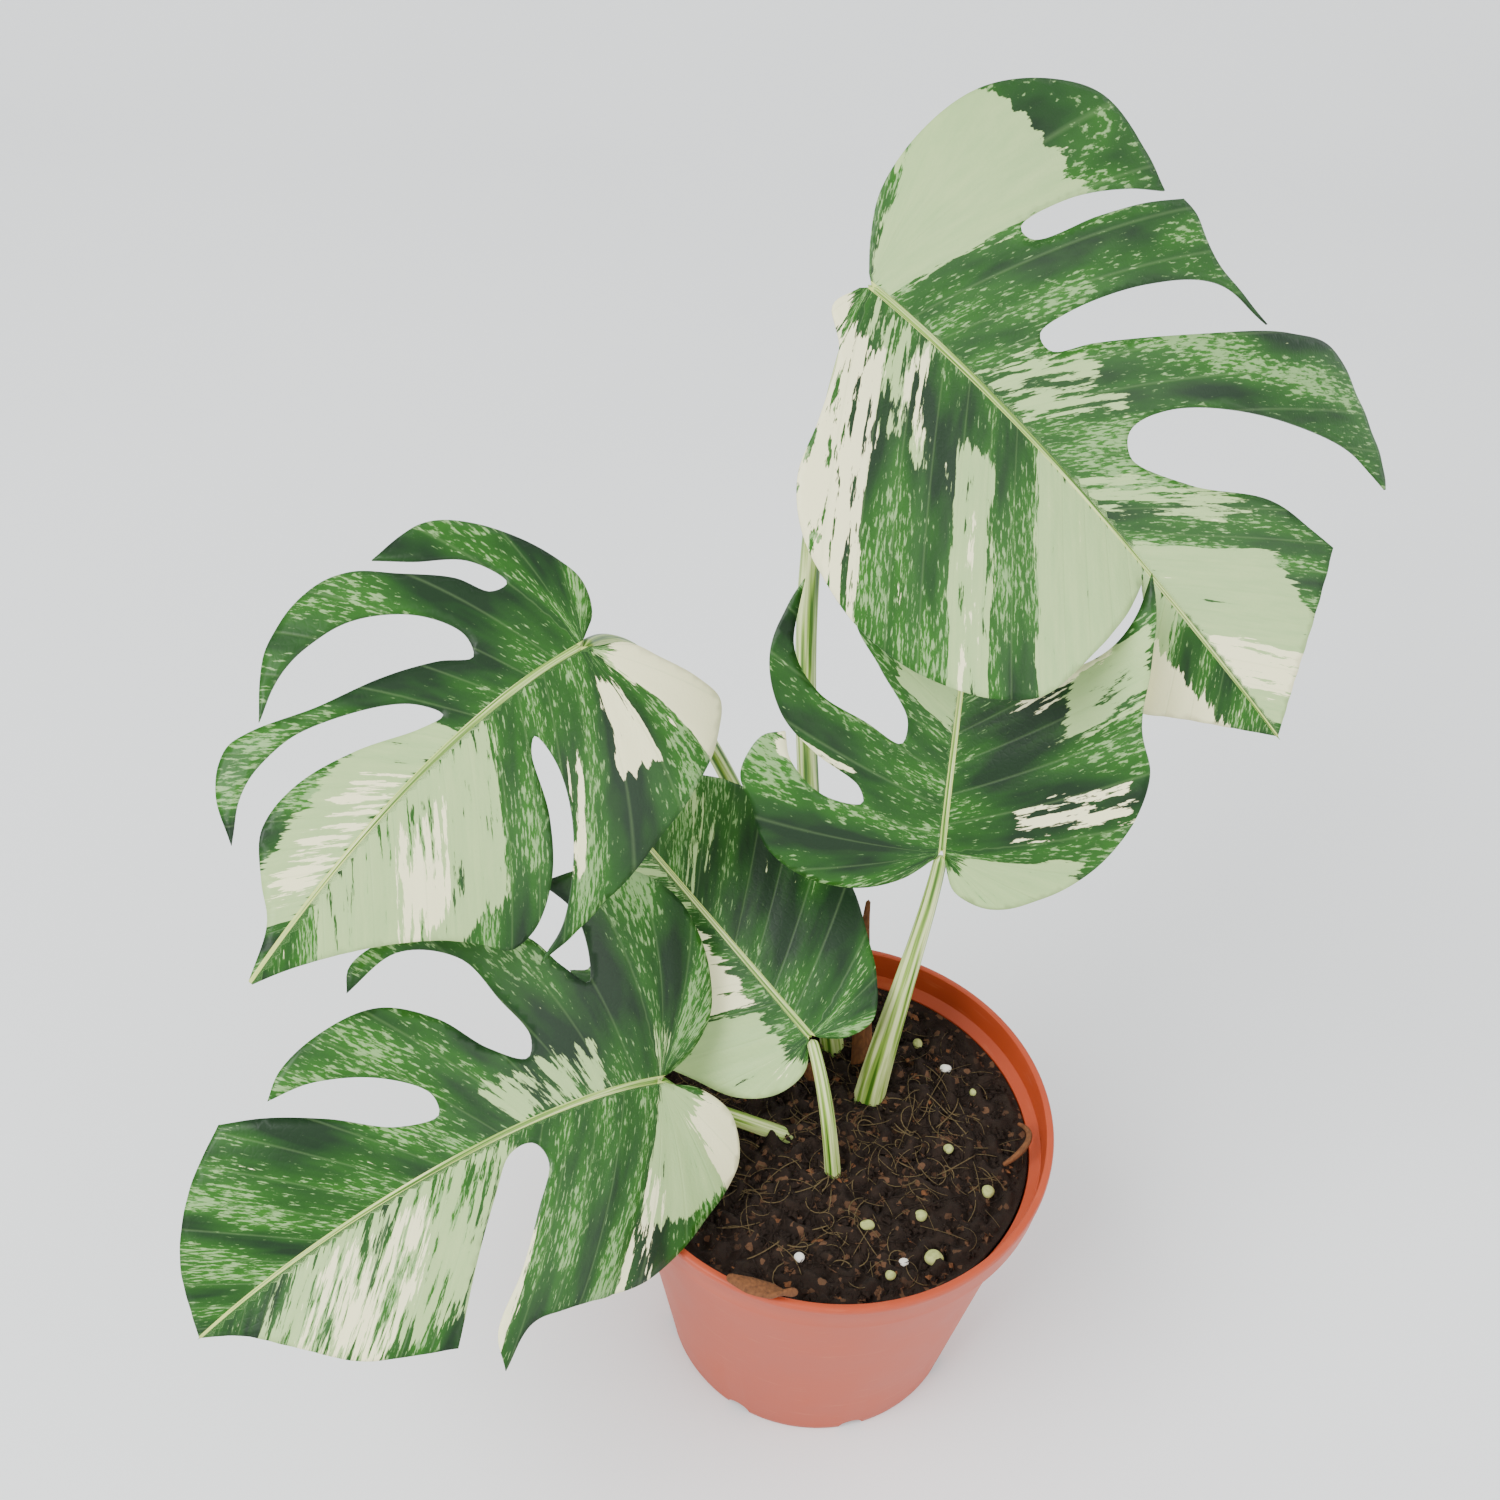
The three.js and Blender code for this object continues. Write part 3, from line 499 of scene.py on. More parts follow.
def leaf_material():
    """Living leaf: waxy cuticle over green, so a soft gloss; fine net of veins."""
    made, tree, shader = new_material("living_monstera_leaf", Roughness=0.45, IOR=1.38)
    veins = add(tree, "UVMap", uv_map="veins").outputs[0]
    flat = add(tree, "UVMap", uv_map="flat").outputs[0]
    # Streaks: 3 mm across the veins and 25 mm along them; the UV is in metres.
    long = add(tree, "Mapping", {"Vector": veins, "Scale": (330, 40, 1)}).outputs[0]
    streak = add(tree, "TexNoise", {"Vector": long, "Scale": 1.0, "Detail": 5.0, "Roughness": 0.62})
    fleck_map = add(tree, "Mapping", {"Vector": veins, "Scale": (1150, 210, 1), "Location": (3, 7, 0)})
    fleck = add(tree, "TexNoise", {"Vector": fleck_map.outputs[0], "Scale": 1.0, "Detail": 6.0,
                                   "Roughness": 0.6})
    broad_map = add(tree, "Mapping", {"Vector": veins, "Scale": (70, 16, 1), "Location": (9, 2, 0)})
    broad = add(tree, "TexNoise", {"Vector": broad_map.outputs[0], "Scale": 1.0, "Detail": 3.0})
    cream = add(tree, "Attribute", attribute_name="cream").outputs["Fac"]
    sage = add(tree, "Attribute", attribute_name="sage").outputs["Fac"]

    def masked(amount, noise, fray, low, high):
        wave = add(tree, "Math", {0: noise, 1: fray, 2: -fray / 2}, operation="MULTIPLY_ADD").outputs[0]
        total = add(tree, "Math", {0: amount, 1: wave}, operation="ADD").outputs[0]
        return add(tree, "MapRange", {"Value": total, "From Min": low, "From Max": high}).outputs[0]

    depth = add(tree, "MapRange", {"Value": broad.outputs[0], "From Min": 0.35, "From Max": 0.65}).outputs[0]
    green = add(tree, "Mix", {0: depth, 6: GREEN_DEEP, 7: GREEN_LEAF}, data_type="RGBA").outputs[2]
    # Half lit cells lie over the green everywhere as fine flecks, thicker where the broad noise is high.
    haze = add(tree, "Math", {0: broad.outputs[0], 1: 2.4, 2: -1.2}, operation="MULTIPLY_ADD").outputs[0]
    flecked = masked(haze, fleck.outputs[0], 3.0, 0.2, 0.42)
    thin = add(tree, "Math", {0: flecked, 1: 0.75}, operation="MULTIPLY").outputs[0]
    green = add(tree, "Mix", {0: thin, 6: green, 7: SAGE}, data_type="RGBA").outputs[2]
    sage_mask = masked(sage, streak.outputs[0], 2.4, 0.46, 0.52)
    sage_tone = add(tree, "Mix", {0: streak.outputs[0], 6: SAGE, 7: SAGE_PALE}, data_type="RGBA").outputs[2]
    colour = add(tree, "Mix", {0: sage_mask, 6: green, 7: sage_tone}, data_type="RGBA").outputs[2]
    cream_mask = masked(cream, streak.outputs[0], 2.4, 0.48, 0.53)
    colour = add(tree, "Mix", {0: cream_mask, 6: colour, 7: CREAM}, data_type="RGBA").outputs[2]
    # The midrib is a pale line, 2.4 mm wide at the petiole and 0.8 mm at the apex.
    parts = add(tree, "SeparateXYZ", {"Vector": flat})
    wide = add(tree, "Math", {0: parts.outputs[0]}, operation="ABSOLUTE").outputs[0]
    half = add(tree, "MapRange", {"Value": parts.outputs[1], "From Min": 0.0, "From Max": 0.2,
                                  "To Min": 0.0013, "To Max": 0.0004}).outputs[0]
    line = add(tree, "Math", {0: wide, 1: half}, operation="LESS_THAN").outputs[0]
    line = add(tree, "Math", {0: line, 1: 0.85}, operation="MULTIPLY").outputs[0]
    colour = add(tree, "Mix", {0: line, 6: colour, 7: RIB_PALE}, data_type="RGBA").outputs[2]
    # Side veins every 11 mm along the midrib, drawn as narrow grooves and a slightly paler line.
    apart = add(tree, "SeparateXYZ", {"Vector": veins}).outputs[0]
    turn = add(tree, "Math", {0: apart, 1: math.pi / 0.011}, operation="MULTIPLY").outputs[0]
    wave = add(tree, "Math", {0: turn}, operation="SINE").outputs[0]
    wave = add(tree, "Math", {0: wave}, operation="ABSOLUTE").outputs[0]
    groove = add(tree, "MapRange", {"Value": wave, "From Min": 0.0, "From Max": 0.16}).outputs[0]
    pale = add(tree, "Math", {0: groove, 1: -0.12, 2: 0.12}, operation="MULTIPLY_ADD").outputs[0]
    colour = add(tree, "Mix", {0: pale, 6: colour, 7: SAGE}, data_type="RGBA").outputs[2]
    net = add(tree, "TexVoronoi", {"Vector": flat, "Scale": 420.0}, feature="DISTANCE_TO_EDGE")
    cells = add(tree, "Math", {0: net.outputs["Distance"], 1: 0.2}, operation="MINIMUM").outputs[0]
    height = add(tree, "Math", {0: groove, 1: 0.6, 2: cells}, operation="MULTIPLY_ADD").outputs[0]
    bump = add(tree, "Bump", {"Height": height, "Strength": 0.25, "Distance": 0.0006})
    tree.links.new(bump.outputs[0], shader.inputs["Normal"])
    tree.links.new(colour, shader.inputs["Base Color"])
    return made


LEAF = leaf_material()
print("leaf material:", len(LEAF.node_tree.nodes), "nodes")

# %% [markdown]
# The flat net is carried to its place, pushed up a little between the side veins as real blades are, and
# given its thickness by Solidify, which closes the sheet all round.

# %% Make the blades
BLADE_THICKNESS = 0.8
QUILT_HEIGHT = 0.35
QUILT_PITCH = 11.0


def make_blade(name, blade):
    """Leaf surface plus a quilt: a squared sine of the vein place, faded out at the midrib."""
    flat, faces = flat_net(blade)
    x, y = flat.T
    length = by_length(blade["midrib"])[2]
    points = leaf_points(blade, x, y)
    nudge = 0.5
    across = leaf_points(blade, x + nudge, y) - leaf_points(blade, x - nudge, y)
    forward = leaf_points(blade, x, y + nudge) - leaf_points(blade, x, y - nudge)
    normal = unit(np.cross(across, forward))
    along, out = vein_place(x, y, length)
    quilt = np.sin(math.pi * along / QUILT_PITCH) ** 2 * np.clip(out / 15, 0, 1)
    points = points + normal * (QUILT_HEIGHT * (quilt - 0.5))[:, None]
    a, b, c = points[faces[:, 0]], points[faces[:, 1]], points[faces[:, 2]]
    wrong = np.sum(np.cross(b - a, c - a) * normal[faces[:, 0]], axis=1) < 0
    faces[wrong] = faces[wrong][:, ::-1]
    piece = make_piece(f"leaf_{name}", points, faces, LEAF, [f"blade_{name}"])
    mesh = piece.data
    corner = np.zeros(len(mesh.loops), int)
    mesh.loops.foreach_get("vertex_index", corner)
    half_shift = np.where(x >= 0, 0, 0.5)
    for layer, uv in (("flat", flat * MM), ("veins", np.stack([along * MM + half_shift, out * MM], 1))):
        mesh.uv_layers.new(name=layer).data.foreach_set("uv", uv[corner].ravel())
    for kind in ("cream", "sage"):
        amount = patch_amount(PATCHES[name][kind], x, along, out)
        mesh.attributes.new(kind, "FLOAT", "POINT").data.foreach_set("value", amount)
    solid = piece.modifiers.new("thickness", "SOLIDIFY")
    solid.thickness = BLADE_THICKNESS * MM
    solid.offset = 0
    return piece


for blade_name, blade_values in BLADES.items():
    make_blade(blade_name, blade_values)

# %% [markdown]
# ## Stalks
# A petiole is a smooth round stalk with faint ridges, so it is a circle carried along its path, with small
# waves round it. The dry sheath and the bark chip are the same shape pressed flat.

# %% Stalk shapes
STALKS = {
    "petiole_a": [[(4, 37, 104), (-13, 84, 196), (-34, 92, 330), (-10.5, 103, 421)], (5, 4.2, 3.8, 2.6), 1],
    "petiole_b": [[(-9, 49, 104), (-8, 90, 150), (-78, 150, 262), (-93.5, 48.5, 313.5)],
                  (4, 3.6, 3.2, 2.4), 1],
    "petiole_c": [[(-1, -2, 104), (-16, 2, 118), (-50, -3, 129), (-62.5, -17, 168.5)], (4, 3.2, 2.8, 2.2), 1],
    "petiole_d": [[(15, 18, 104), (18, 21, 150), (30, 30, 205), (32, 35.5, 235.5)], (6.8, 5.2, 3.6, 2.4), 1],
    "petiole_e": [[(3, -20, 104), (0, -17, 135), (-4, -12, 162), (-8.5, 1, 168.5)], (3.4, 3, 2.7, 2.2), 1],
    "dry_sheath": [[(13, 29, 106), (14, 36, 130), (9, 50, 163), (11, 61, 186)], (4.6, 4, 3, 0.9), 0.35],
    "old_stem": [[(-7, 25, 104), (-7, 25.5, 112), (-6, 26, 119), (-5, 27, 126)], (5.4, 5.2, 4.8, 4.2), 1],
    "root_curl": [[(66, -14, 122.6), (74, -12, 129), (80, -4, 131), (73, 4, 124.6)], (0.9, 1.3, 1.2, 0.7), 1],
    "bark_chip": [[(-37, -75.5, 136.4), (-28, -79, 135.7), (-20, -81.5, 136), (-12, -80.5, 137)],
                  (1.4, 3.2, 3.6, 1.2), 0.45],
}
RIDGES = 9
RIDGE_DEPTH = 0.05


def stalk_net(path, radii, flatten, rings=90, around=40):
    """Ellipse round the path, ends rounded: its radius is less by a small cosine of the turn, for ridges."""
    t, run, length = by_length(path)
    share = np.linspace(0, 1, rings)
    centre, along = cubic(path, np.interp(share * length, run, t))
    radius = np.interp(share, np.linspace(0, 1, len(radii)), radii)
    reach = np.minimum(share, 1 - share) * length
    radius = radius * np.sqrt(np.clip(1 - (1 - np.clip(reach / radius, 0, 1)) ** 2, 0.0004, 1))
    wide = unit(np.array([1.0, 0, 0]) - along * along[:, 0:1])
    narrow = np.cross(along, wide)
    turn = np.linspace(0, 2 * math.pi, around, endpoint=False)
    ridge = 1 - RIDGE_DEPTH * (0.5 + 0.5 * np.cos(RIDGES * turn))
    flat = (radius[:, None] * np.cos(turn) * ridge)[..., None] * wide[:, None]
    deep = (radius[:, None] * np.sin(turn) * ridge * flatten)[..., None] * narrow[:, None]
    points = (centre[:, None] + flat + deep).reshape(-1, 3)
    faces = grid_faces(rings, around).tolist()
    last = (rings - 1) * around
    faces += [list(range(around))[::-1], list(range(last, last + around))]
    wrap = np.stack(np.broadcast_arrays(np.cos(turn), np.sin(turn), share[:, None] * length), -1)
    return points, faces, wrap.reshape(-1, 3)


def make_stalk(name, net, finish, replaced=()):
    """Puts a stalk's net in a piece, with its places round and along kept as an attribute for its streaks."""
    points, faces, wrap = net
    piece = make_piece(name, points, faces, finish, replaced)
    piece.data.attributes.new("wrap", "FLOAT_VECTOR", "POINT").data.foreach_set("vector", wrap.ravel())


# %% Stalk materials
def petiole_material():
    """Living stalk: smooth, half glossy pale green with long cream and dark streaks, as its leaf has."""
    made, tree, shader = new_material("living_petiole_skin", Roughness=0.38, IOR=1.45)
    # The attribute holds the place round the stalk and the millimetres up it: streaks 2 mm wide, 60 mm long.
    place = add(tree, "Attribute", attribute_name="wrap").outputs["Vector"]
    long = add(tree, "Mapping", {"Vector": place, "Scale": (2.4, 2.4, 0.017)}).outputs[0]
    streak = add(tree, "TexNoise", {"Vector": long, "Scale": 1.0, "Detail": 3.0})
    ramp = add(tree, "ValToRGB", {"Fac": streak.outputs[0]})
    ramp.color_ramp.elements[0].position = 0.36
    ramp.color_ramp.elements[0].color = linear("#3f6b1c")
    ramp.color_ramp.elements[1].position = 0.62
    ramp.color_ramp.elements[1].color = linear("#dbe5a0")
    middle = ramp.color_ramp.elements.new(0.48)
    middle.color = linear("#8fb04a")
    bump = add(tree, "Bump", {"Height": streak.outputs[0], "Strength": 0.2, "Distance": 0.0003})
    tree.links.new(bump.outputs[0], shader.inputs["Normal"])
    tree.links.new(ramp.outputs[0], shader.inputs["Base Color"])
    return made


def dry_material(name, dark, pale):
    """Dead plant tissue: matt and fibrous, between a dark and a pale brown."""
    made, tree, shader = new_material(name, Roughness=0.85, IOR=1.4)
    place = add(tree, "TexCoord").outputs["Object"]
    # Fibres about 1 mm wide.
    long = add(tree, "Mapping", {"Vector": place, "Scale": (900, 900, 90)}).outputs[0]
    fibre = add(tree, "TexNoise", {"Vector": long, "Scale": 1.0, "Detail": 5.0})
    colour = add(tree, "Mix", {0: fibre.outputs[0], 6: linear(dark), 7: linear(pale)},
                 data_type="RGBA").outputs[2]
    bump = add(tree, "Bump", {"Height": fibre.outputs[0], "Strength": 0.6, "Distance": 0.0006})
    tree.links.new(bump.outputs[0], shader.inputs["Normal"])
    tree.links.new(colour, shader.inputs["Base Color"])
    return made


PETIOLE = petiole_material()
DRY = dry_material("dry_plant_fibre", "#2a1a10", "#8a5630")
ROOT = dry_material("dead_root_fibre", "#2c2114", "#7d6a45")
for stalk_name, (path, radii, flatten) in STALKS.items():
    if stalk_name.startswith("petiole"):
        # The stalk runs on into its blade's midrib, a little under the leaf surface.
        joint = np.array(BLADES[stalk_name[-1]]["midrib"][0]) - np.array([0, 0, 1.2])
        net = stalk_net([*path[:3], tuple(joint)], radii, flatten)
        make_stalk(f"{stalk_name}_skin", net, PETIOLE, [stalk_name])
    else:
        net = stalk_net(path, radii, flatten)
        make_stalk(f"{stalk_name}_skin", net, DRY, [stalk_name])

# %% [markdown]
# The midrib stands out under each blade as a tapering ridge. It is the same kind of stalk, laid just under
# the leaf surface.

# %% Underside ribs
RIB_RADIUS = (2.0, 1.5, 0.9, 0.4)
RIB_SINK = 0.55
for blade_name, blade_values in BLADES.items():
    _, _, length = by_length(blade_values["midrib"])
    ends = np.array([0, length])
    _, _, up, _ = axes_at(blade_values, ends)
    sink = np.array(RIB_RADIUS)[:, None] * RIB_SINK * np.linspace(up[0], up[1], 4)
    path = np.array(blade_values["midrib"], float) - sink
    net = stalk_net(path, RIB_RADIUS, 1, rings=80, around=16)
    make_stalk(f"midrib_{blade_name}", net, PETIOLE)

# %% [markdown]
# ## Pot
# A thin thermoformed pot: one profile turned about the axis, wall, collar, lip and inside in one closed line.
# The slots round the foot are cut by Boolean with the real drain holes' size.

# %% Pot shape
foot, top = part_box("pot")
POT_HEIGHT = top.z / MM
RIM_RADIUS = (top.x - foot.x) / 2 / MM
WALL = 1.8
BASE_RADIUS = 60.3
COLLAR_FOOT_Z = POT_HEIGHT - 14
COLLAR_FOOT_RADIUS = RIM_RADIUS - 1.4
BODY_TOP_RADIUS = COLLAR_FOOT_RADIUS - 4.2
POT_PROFILE = [
    (0, 0), (30, 0), (BASE_RADIUS - 2, 0), (BASE_RADIUS - 0.8, 0.4), (BASE_RADIUS, 1.5),
    (BASE_RADIUS + 0.3, 4),
    (BODY_TOP_RADIUS - 8.5, COLLAR_FOOT_Z - 51.2), (BODY_TOP_RADIUS - 0.2, COLLAR_FOOT_Z - 2.2),
    (BODY_TOP_RADIUS, COLLAR_FOOT_Z - 1.2), (BODY_TOP_RADIUS + 0.6, COLLAR_FOOT_Z - 0.9),
    (COLLAR_FOOT_RADIUS - 0.6, COLLAR_FOOT_Z - 0.3), (COLLAR_FOOT_RADIUS, COLLAR_FOOT_Z + 0.3),
    (COLLAR_FOOT_RADIUS + 0.2, COLLAR_FOOT_Z + 1.5), (RIM_RADIUS - 0.5, POT_HEIGHT - 3.4),
    (RIM_RADIUS - 0.3, POT_HEIGHT - 3.1), (RIM_RADIUS, POT_HEIGHT - 2.6), (RIM_RADIUS, POT_HEIGHT - 1.2),
    (RIM_RADIUS - 0.3, POT_HEIGHT - 0.4), (RIM_RADIUS - 0.9, POT_HEIGHT), (RIM_RADIUS - 2.2, POT_HEIGHT),
    (RIM_RADIUS - 2.8, POT_HEIGHT - 0.3), (RIM_RADIUS - 3, POT_HEIGHT - 0.9),
    (COLLAR_FOOT_RADIUS - WALL - 0.2, COLLAR_FOOT_Z + 2.2), (BODY_TOP_RADIUS - WALL, COLLAR_FOOT_Z - 0.6),
    (BODY_TOP_RADIUS - WALL - 0.3, COLLAR_FOOT_Z - 3), (BASE_RADIUS - WALL, 4.5), (BASE_RADIUS - WALL - 2, 3),
    (30, 3), (0, 3),
]
DRAIN_SLOTS = 8
DRAIN_START = math.radians(16)
DRAIN_RADIUS = 5.0


def turned(profile, around):
    """Each profile point swept round the axis; the two points on the axis are single poles."""
    turn = np.linspace(0, 2 * math.pi, around, endpoint=False)
    radius, height = np.array(profile[1:-1], float).T
    ring = np.stack([radius[:, None] * np.cos(turn), radius[:, None] * np.sin(turn),
                     np.repeat(height[:, None], around, 1)], -1).reshape(-1, 3)
    points = np.vstack([ring, [[0, 0, profile[0][1]], [0, 0, profile[-1][1]]]])
    side = np.arange(around)
    nearby = (side + 1) % around
    last = (len(profile) - 3) * around
    faces = grid_faces(len(profile) - 2, around).tolist()
    faces += np.stack([nearby, side, np.full(around, len(ring))], 1).tolist()
    faces += np.stack([last + side, last + nearby, np.full(around, len(ring) + 1)], 1).tolist()
    return points, faces


def drain_cutter():
    """Lying cylinders through the foot's edge, spaced evenly."""
    turn = np.linspace(0, 2 * math.pi, 32, endpoint=False)
    points, faces = [], []
    for k in range(DRAIN_SLOTS):
        way = DRAIN_START + 2 * math.pi * k / DRAIN_SLOTS
        outward = np.array([math.cos(way), math.sin(way), 0])
        sideways = np.array([-math.sin(way), math.cos(way), 0])
        upward = np.array([0, 0, 1.0])
        ring = DRAIN_RADIUS * (np.cos(turn)[:, None] * sideways + np.sin(turn)[:, None] * upward)
        centre = outward * (BASE_RADIUS - 1) + np.array([0, 0, 0.4])
        points += [ring + centre - outward * 8, ring + centre + outward * 8]
        first = k * 64
        faces += grid_faces(2, 32, first).tolist()
        faces += [list(range(first, first + 32))[::-1], list(range(first + 32, first + 64))]
    mesh = bpy.data.meshes.new("drain_cutter")
    mesh.from_pydata((np.vstack(points) * MM).tolist(), [], faces)
    return bpy.data.objects.new("drain_cutter", mesh)


def pot_material():
    """Moulded polypropylene, terracotta coloured: satin, faint turning marks and a dusty bloom."""
    made, tree, shader = new_material("moulded_polypropylene_terracotta", IOR=1.4)
    place = add(tree, "TexCoord").outputs["Object"]
    # Grain of 0.5 mm in the skin and clouds of 30 mm in the colour.
    cloud = add(tree, "TexNoise", {"Vector": place, "Scale": 33.0, "Detail": 4.0})
    grain = add(tree, "TexNoise", {"Vector": place, "Scale": 2000.0, "Detail": 2.0})
    colour = add(tree, "Mix", {0: cloud.outputs[0], 6: linear("#a33c1e"), 7: linear("#b54a28")},
                 data_type="RGBA").outputs[2]
    scuffs_at = add(tree, "Mapping", {"Vector": place, "Scale": (60, 60, 500)}).outputs[0]
    scuffs = add(tree, "TexNoise", {"Vector": scuffs_at, "Scale": 1.0, "Detail": 6.0})
    worn = add(tree, "MapRange", {"Value": scuffs.outputs[0], "From Min": 0.6, "From Max": 0.8,
                                   "To Max": 0.35}).outputs[0]
    colour = add(tree, "Mix", {0: worn, 6: colour, 7: linear("#c8714e")}, data_type="RGBA").outputs[2]
    rough = add(tree, "MapRange", {"Value": cloud.outputs[0], "To Min": 0.38, "To Max": 0.55})
    bump = add(tree, "Bump", {"Height": grain.outputs[0], "Strength": 0.12, "Distance": 0.0002})
    tree.links.new(rough.outputs[0], shader.inputs["Roughness"])
    tree.links.new(bump.outputs[0], shader.inputs["Normal"])
    tree.links.new(colour, shader.inputs["Base Color"])
    return made


def make_pot():
    """Turned shell with the drain slots cut out, the cut applied so that only a plain mesh stays."""
    points, faces = turned(POT_PROFILE, 192)
    pot = make_piece("pot_shell", points, faces, pot_material(), ["pot"])
    cutter = drain_cutter()
    bpy.context.scene.collection.objects.link(cutter)
    cut = pot.modifiers.new("drains", "BOOLEAN")
    cut.object = cutter
    cut.operation = "DIFFERENCE"
    cut.solver = "EXACT"
    shaped = pot.evaluated_get(bpy.context.evaluated_depsgraph_get())
    finished = bpy.data.meshes.new_from_object(shaped)
    pot.modifiers.clear()
    pot.data = finished
    bpy.data.objects.remove(cutter)
    pot.data.set_sharp_from_angle(angle=math.radians(35))
    print("pot:", len(pot.data.polygons), "faces after the drains")


make_pot()

# %% [markdown]
# ## Potting mix
# Damp peat and bark. The surface is a disc of small lumps, and on it lie crumbs, bits of bark and fine roots.
# They are far too many to model one by one, so each kind is one small shape that numpy repeats at random
# places.

# %% Soil surface
SOIL_LEVEL = 119.0
SOIL_RADIUS = BODY_TOP_RADIUS - WALL - 0.8


def soil_top(x, y):
    """Level plus three slow waves that fade out at the wall, as in the solid."""
    waves = 0.9 * np.sin(x / 9 + 1) * np.cos(y / 11) + 0.7 * np.sin((x + y) / 6.5)
    waves += 0.5 * np.cos((x - 2 * y) / 8)
    fade = np.clip((79 - np.hypot(x, y)) / 13, 0, 1)
    return SOIL_LEVEL + waves * fade * fade * (3 - 2 * fade)


def lumps(x, y):
    """Sum of 60 sine waves of random heading, 3 to 12 mm long, each weaker as it gets shorter."""
    size = dice.uniform(3, 12, 60)
    heading = dice.uniform(0, 2 * math.pi, 60)
    shift = dice.uniform(0, 2 * math.pi, 60)
    phase = (np.outer(x, np.cos(heading)) + np.outer(y, np.sin(heading))) * 2 * math.pi / size + shift
    return np.sin(phase) @ (size / 36)


def soil_material():
    """Peat and bark, damp: nearly black brown, matt, with paler woody specks about 2 mm across."""
    made, tree, shader = new_material("damp_peat_and_bark", Roughness=0.9, IOR=1.35)
    place = add(tree, "TexCoord").outputs["Object"]
    clod = add(tree, "TexNoise", {"Vector": place, "Scale": 160.0, "Detail": 7.0, "Roughness": 0.7})
    speck = add(tree, "TexVoronoi", {"Vector": place, "Scale": 450.0})
    colour = add(tree, "Mix", {0: clod.outputs[0], 6: linear("#0c0806"), 7: linear("#33241a")},
                 data_type="RGBA").outputs[2]
    chosen = add(tree, "SeparateXYZ", {"Vector": speck.outputs["Color"]}).outputs[0]
    woody = add(tree, "MapRange", {"Value": chosen, "From Min": 0.9, "From Max": 0.95}).outputs[0]
    woody = add(tree, "Math", {0: woody, 1: 0.7}, operation="MULTIPLY").outputs[0]
    colour = add(tree, "Mix", {0: woody, 6: colour, 7: linear("#6d4d36")}, data_type="RGBA").outputs[2]
    bump = add(tree, "Bump", {"Height": clod.outputs[0], "Strength": 0.9, "Distance": 0.002})
    tree.links.new(bump.outputs[0], shader.inputs["Normal"])
    tree.links.new(colour, shader.inputs["Base Color"])
    return made


SOIL = soil_material()


def make_soil():
    """Evenly spaced rings of the disc, closed below by one flat disc."""
    rings, around = 120, 240
    radius = SOIL_RADIUS * np.linspace(0.004, 1, rings)
    turn = np.linspace(0, 2 * math.pi, around, endpoint=False)
    x = (radius[:, None] * np.cos(turn)).ravel()
    y = (radius[:, None] * np.sin(turn)).ravel()
    fade = np.clip((SOIL_RADIUS - np.hypot(x, y)) / 4, 0, 1)
    z = soil_top(x, y) + lumps(x, y) * fade
    below = np.stack([x[-around:] * 0.98, y[-around:] * 0.98, np.full(around, SOIL_LEVEL - 9)], 1)
    points = np.vstack([np.stack([x, y, z], 1), below])
    faces = grid_faces(rings + 1, around)[:, ::-1].tolist()
    faces += [list(range(around)), list(range(rings * around, (rings + 1) * around))[::-1]]
    soil = make_piece("potting_mix_surface", points, faces, SOIL, ["soil"])


make_soil()

# %% Crumbs, bark bits and fine roots
def scattered(count, reach):
    """Even random places on the disc: the radius is the square root of a uniform number."""
    radius = reach * np.sqrt(dice.uniform(0, 1, count))
    turn = dice.uniform(0, 2 * math.pi, count)
    return radius * np.cos(turn), radius * np.sin(turn)


OCTAHEDRON = np.array([[1, 0, 0], [-1, 0, 0], [0, 1, 0], [0, -1, 0], [0, 0, 1], [0, 0, -1]], float)
OCTAHEDRON_FACES = np.array([[0, 2, 4], [2, 1, 4], [1, 3, 4], [3, 0, 4],
                             [2, 0, 5], [1, 2, 5], [3, 1, 5], [0, 3, 5]])


def heap(name, count, sizes, finish, flat):
    """Octahedra of random size, turn and dent, each lying half sunk where it falls."""
    x, y = scattered(count, SOIL_RADIUS - 3)
    size = dice.uniform(*sizes, count)[:, None, None]
    shape = OCTAHEDRON * dice.uniform(0.6, 1.3, (count, 6, 1)) * size * np.array([1, 0.7, flat])
    turn = dice.uniform(0, 2 * math.pi, count)
    spun = shape.copy()
    spun[..., 0] = shape[..., 0] * np.cos(turn)[:, None] - shape[..., 1] * np.sin(turn)[:, None]
    spun[..., 1] = shape[..., 0] * np.sin(turn)[:, None] + shape[..., 1] * np.cos(turn)[:, None]
    centre = np.stack([x, y, soil_top(x, y) + 0.3], 1)
    points = (spun + centre[:, None]).reshape(-1, 3)
    faces = (OCTAHEDRON_FACES[None] + 6 * np.arange(count)[:, None, None]).reshape(-1, 3)
    make_piece(name, points, faces, finish, smooth=False)


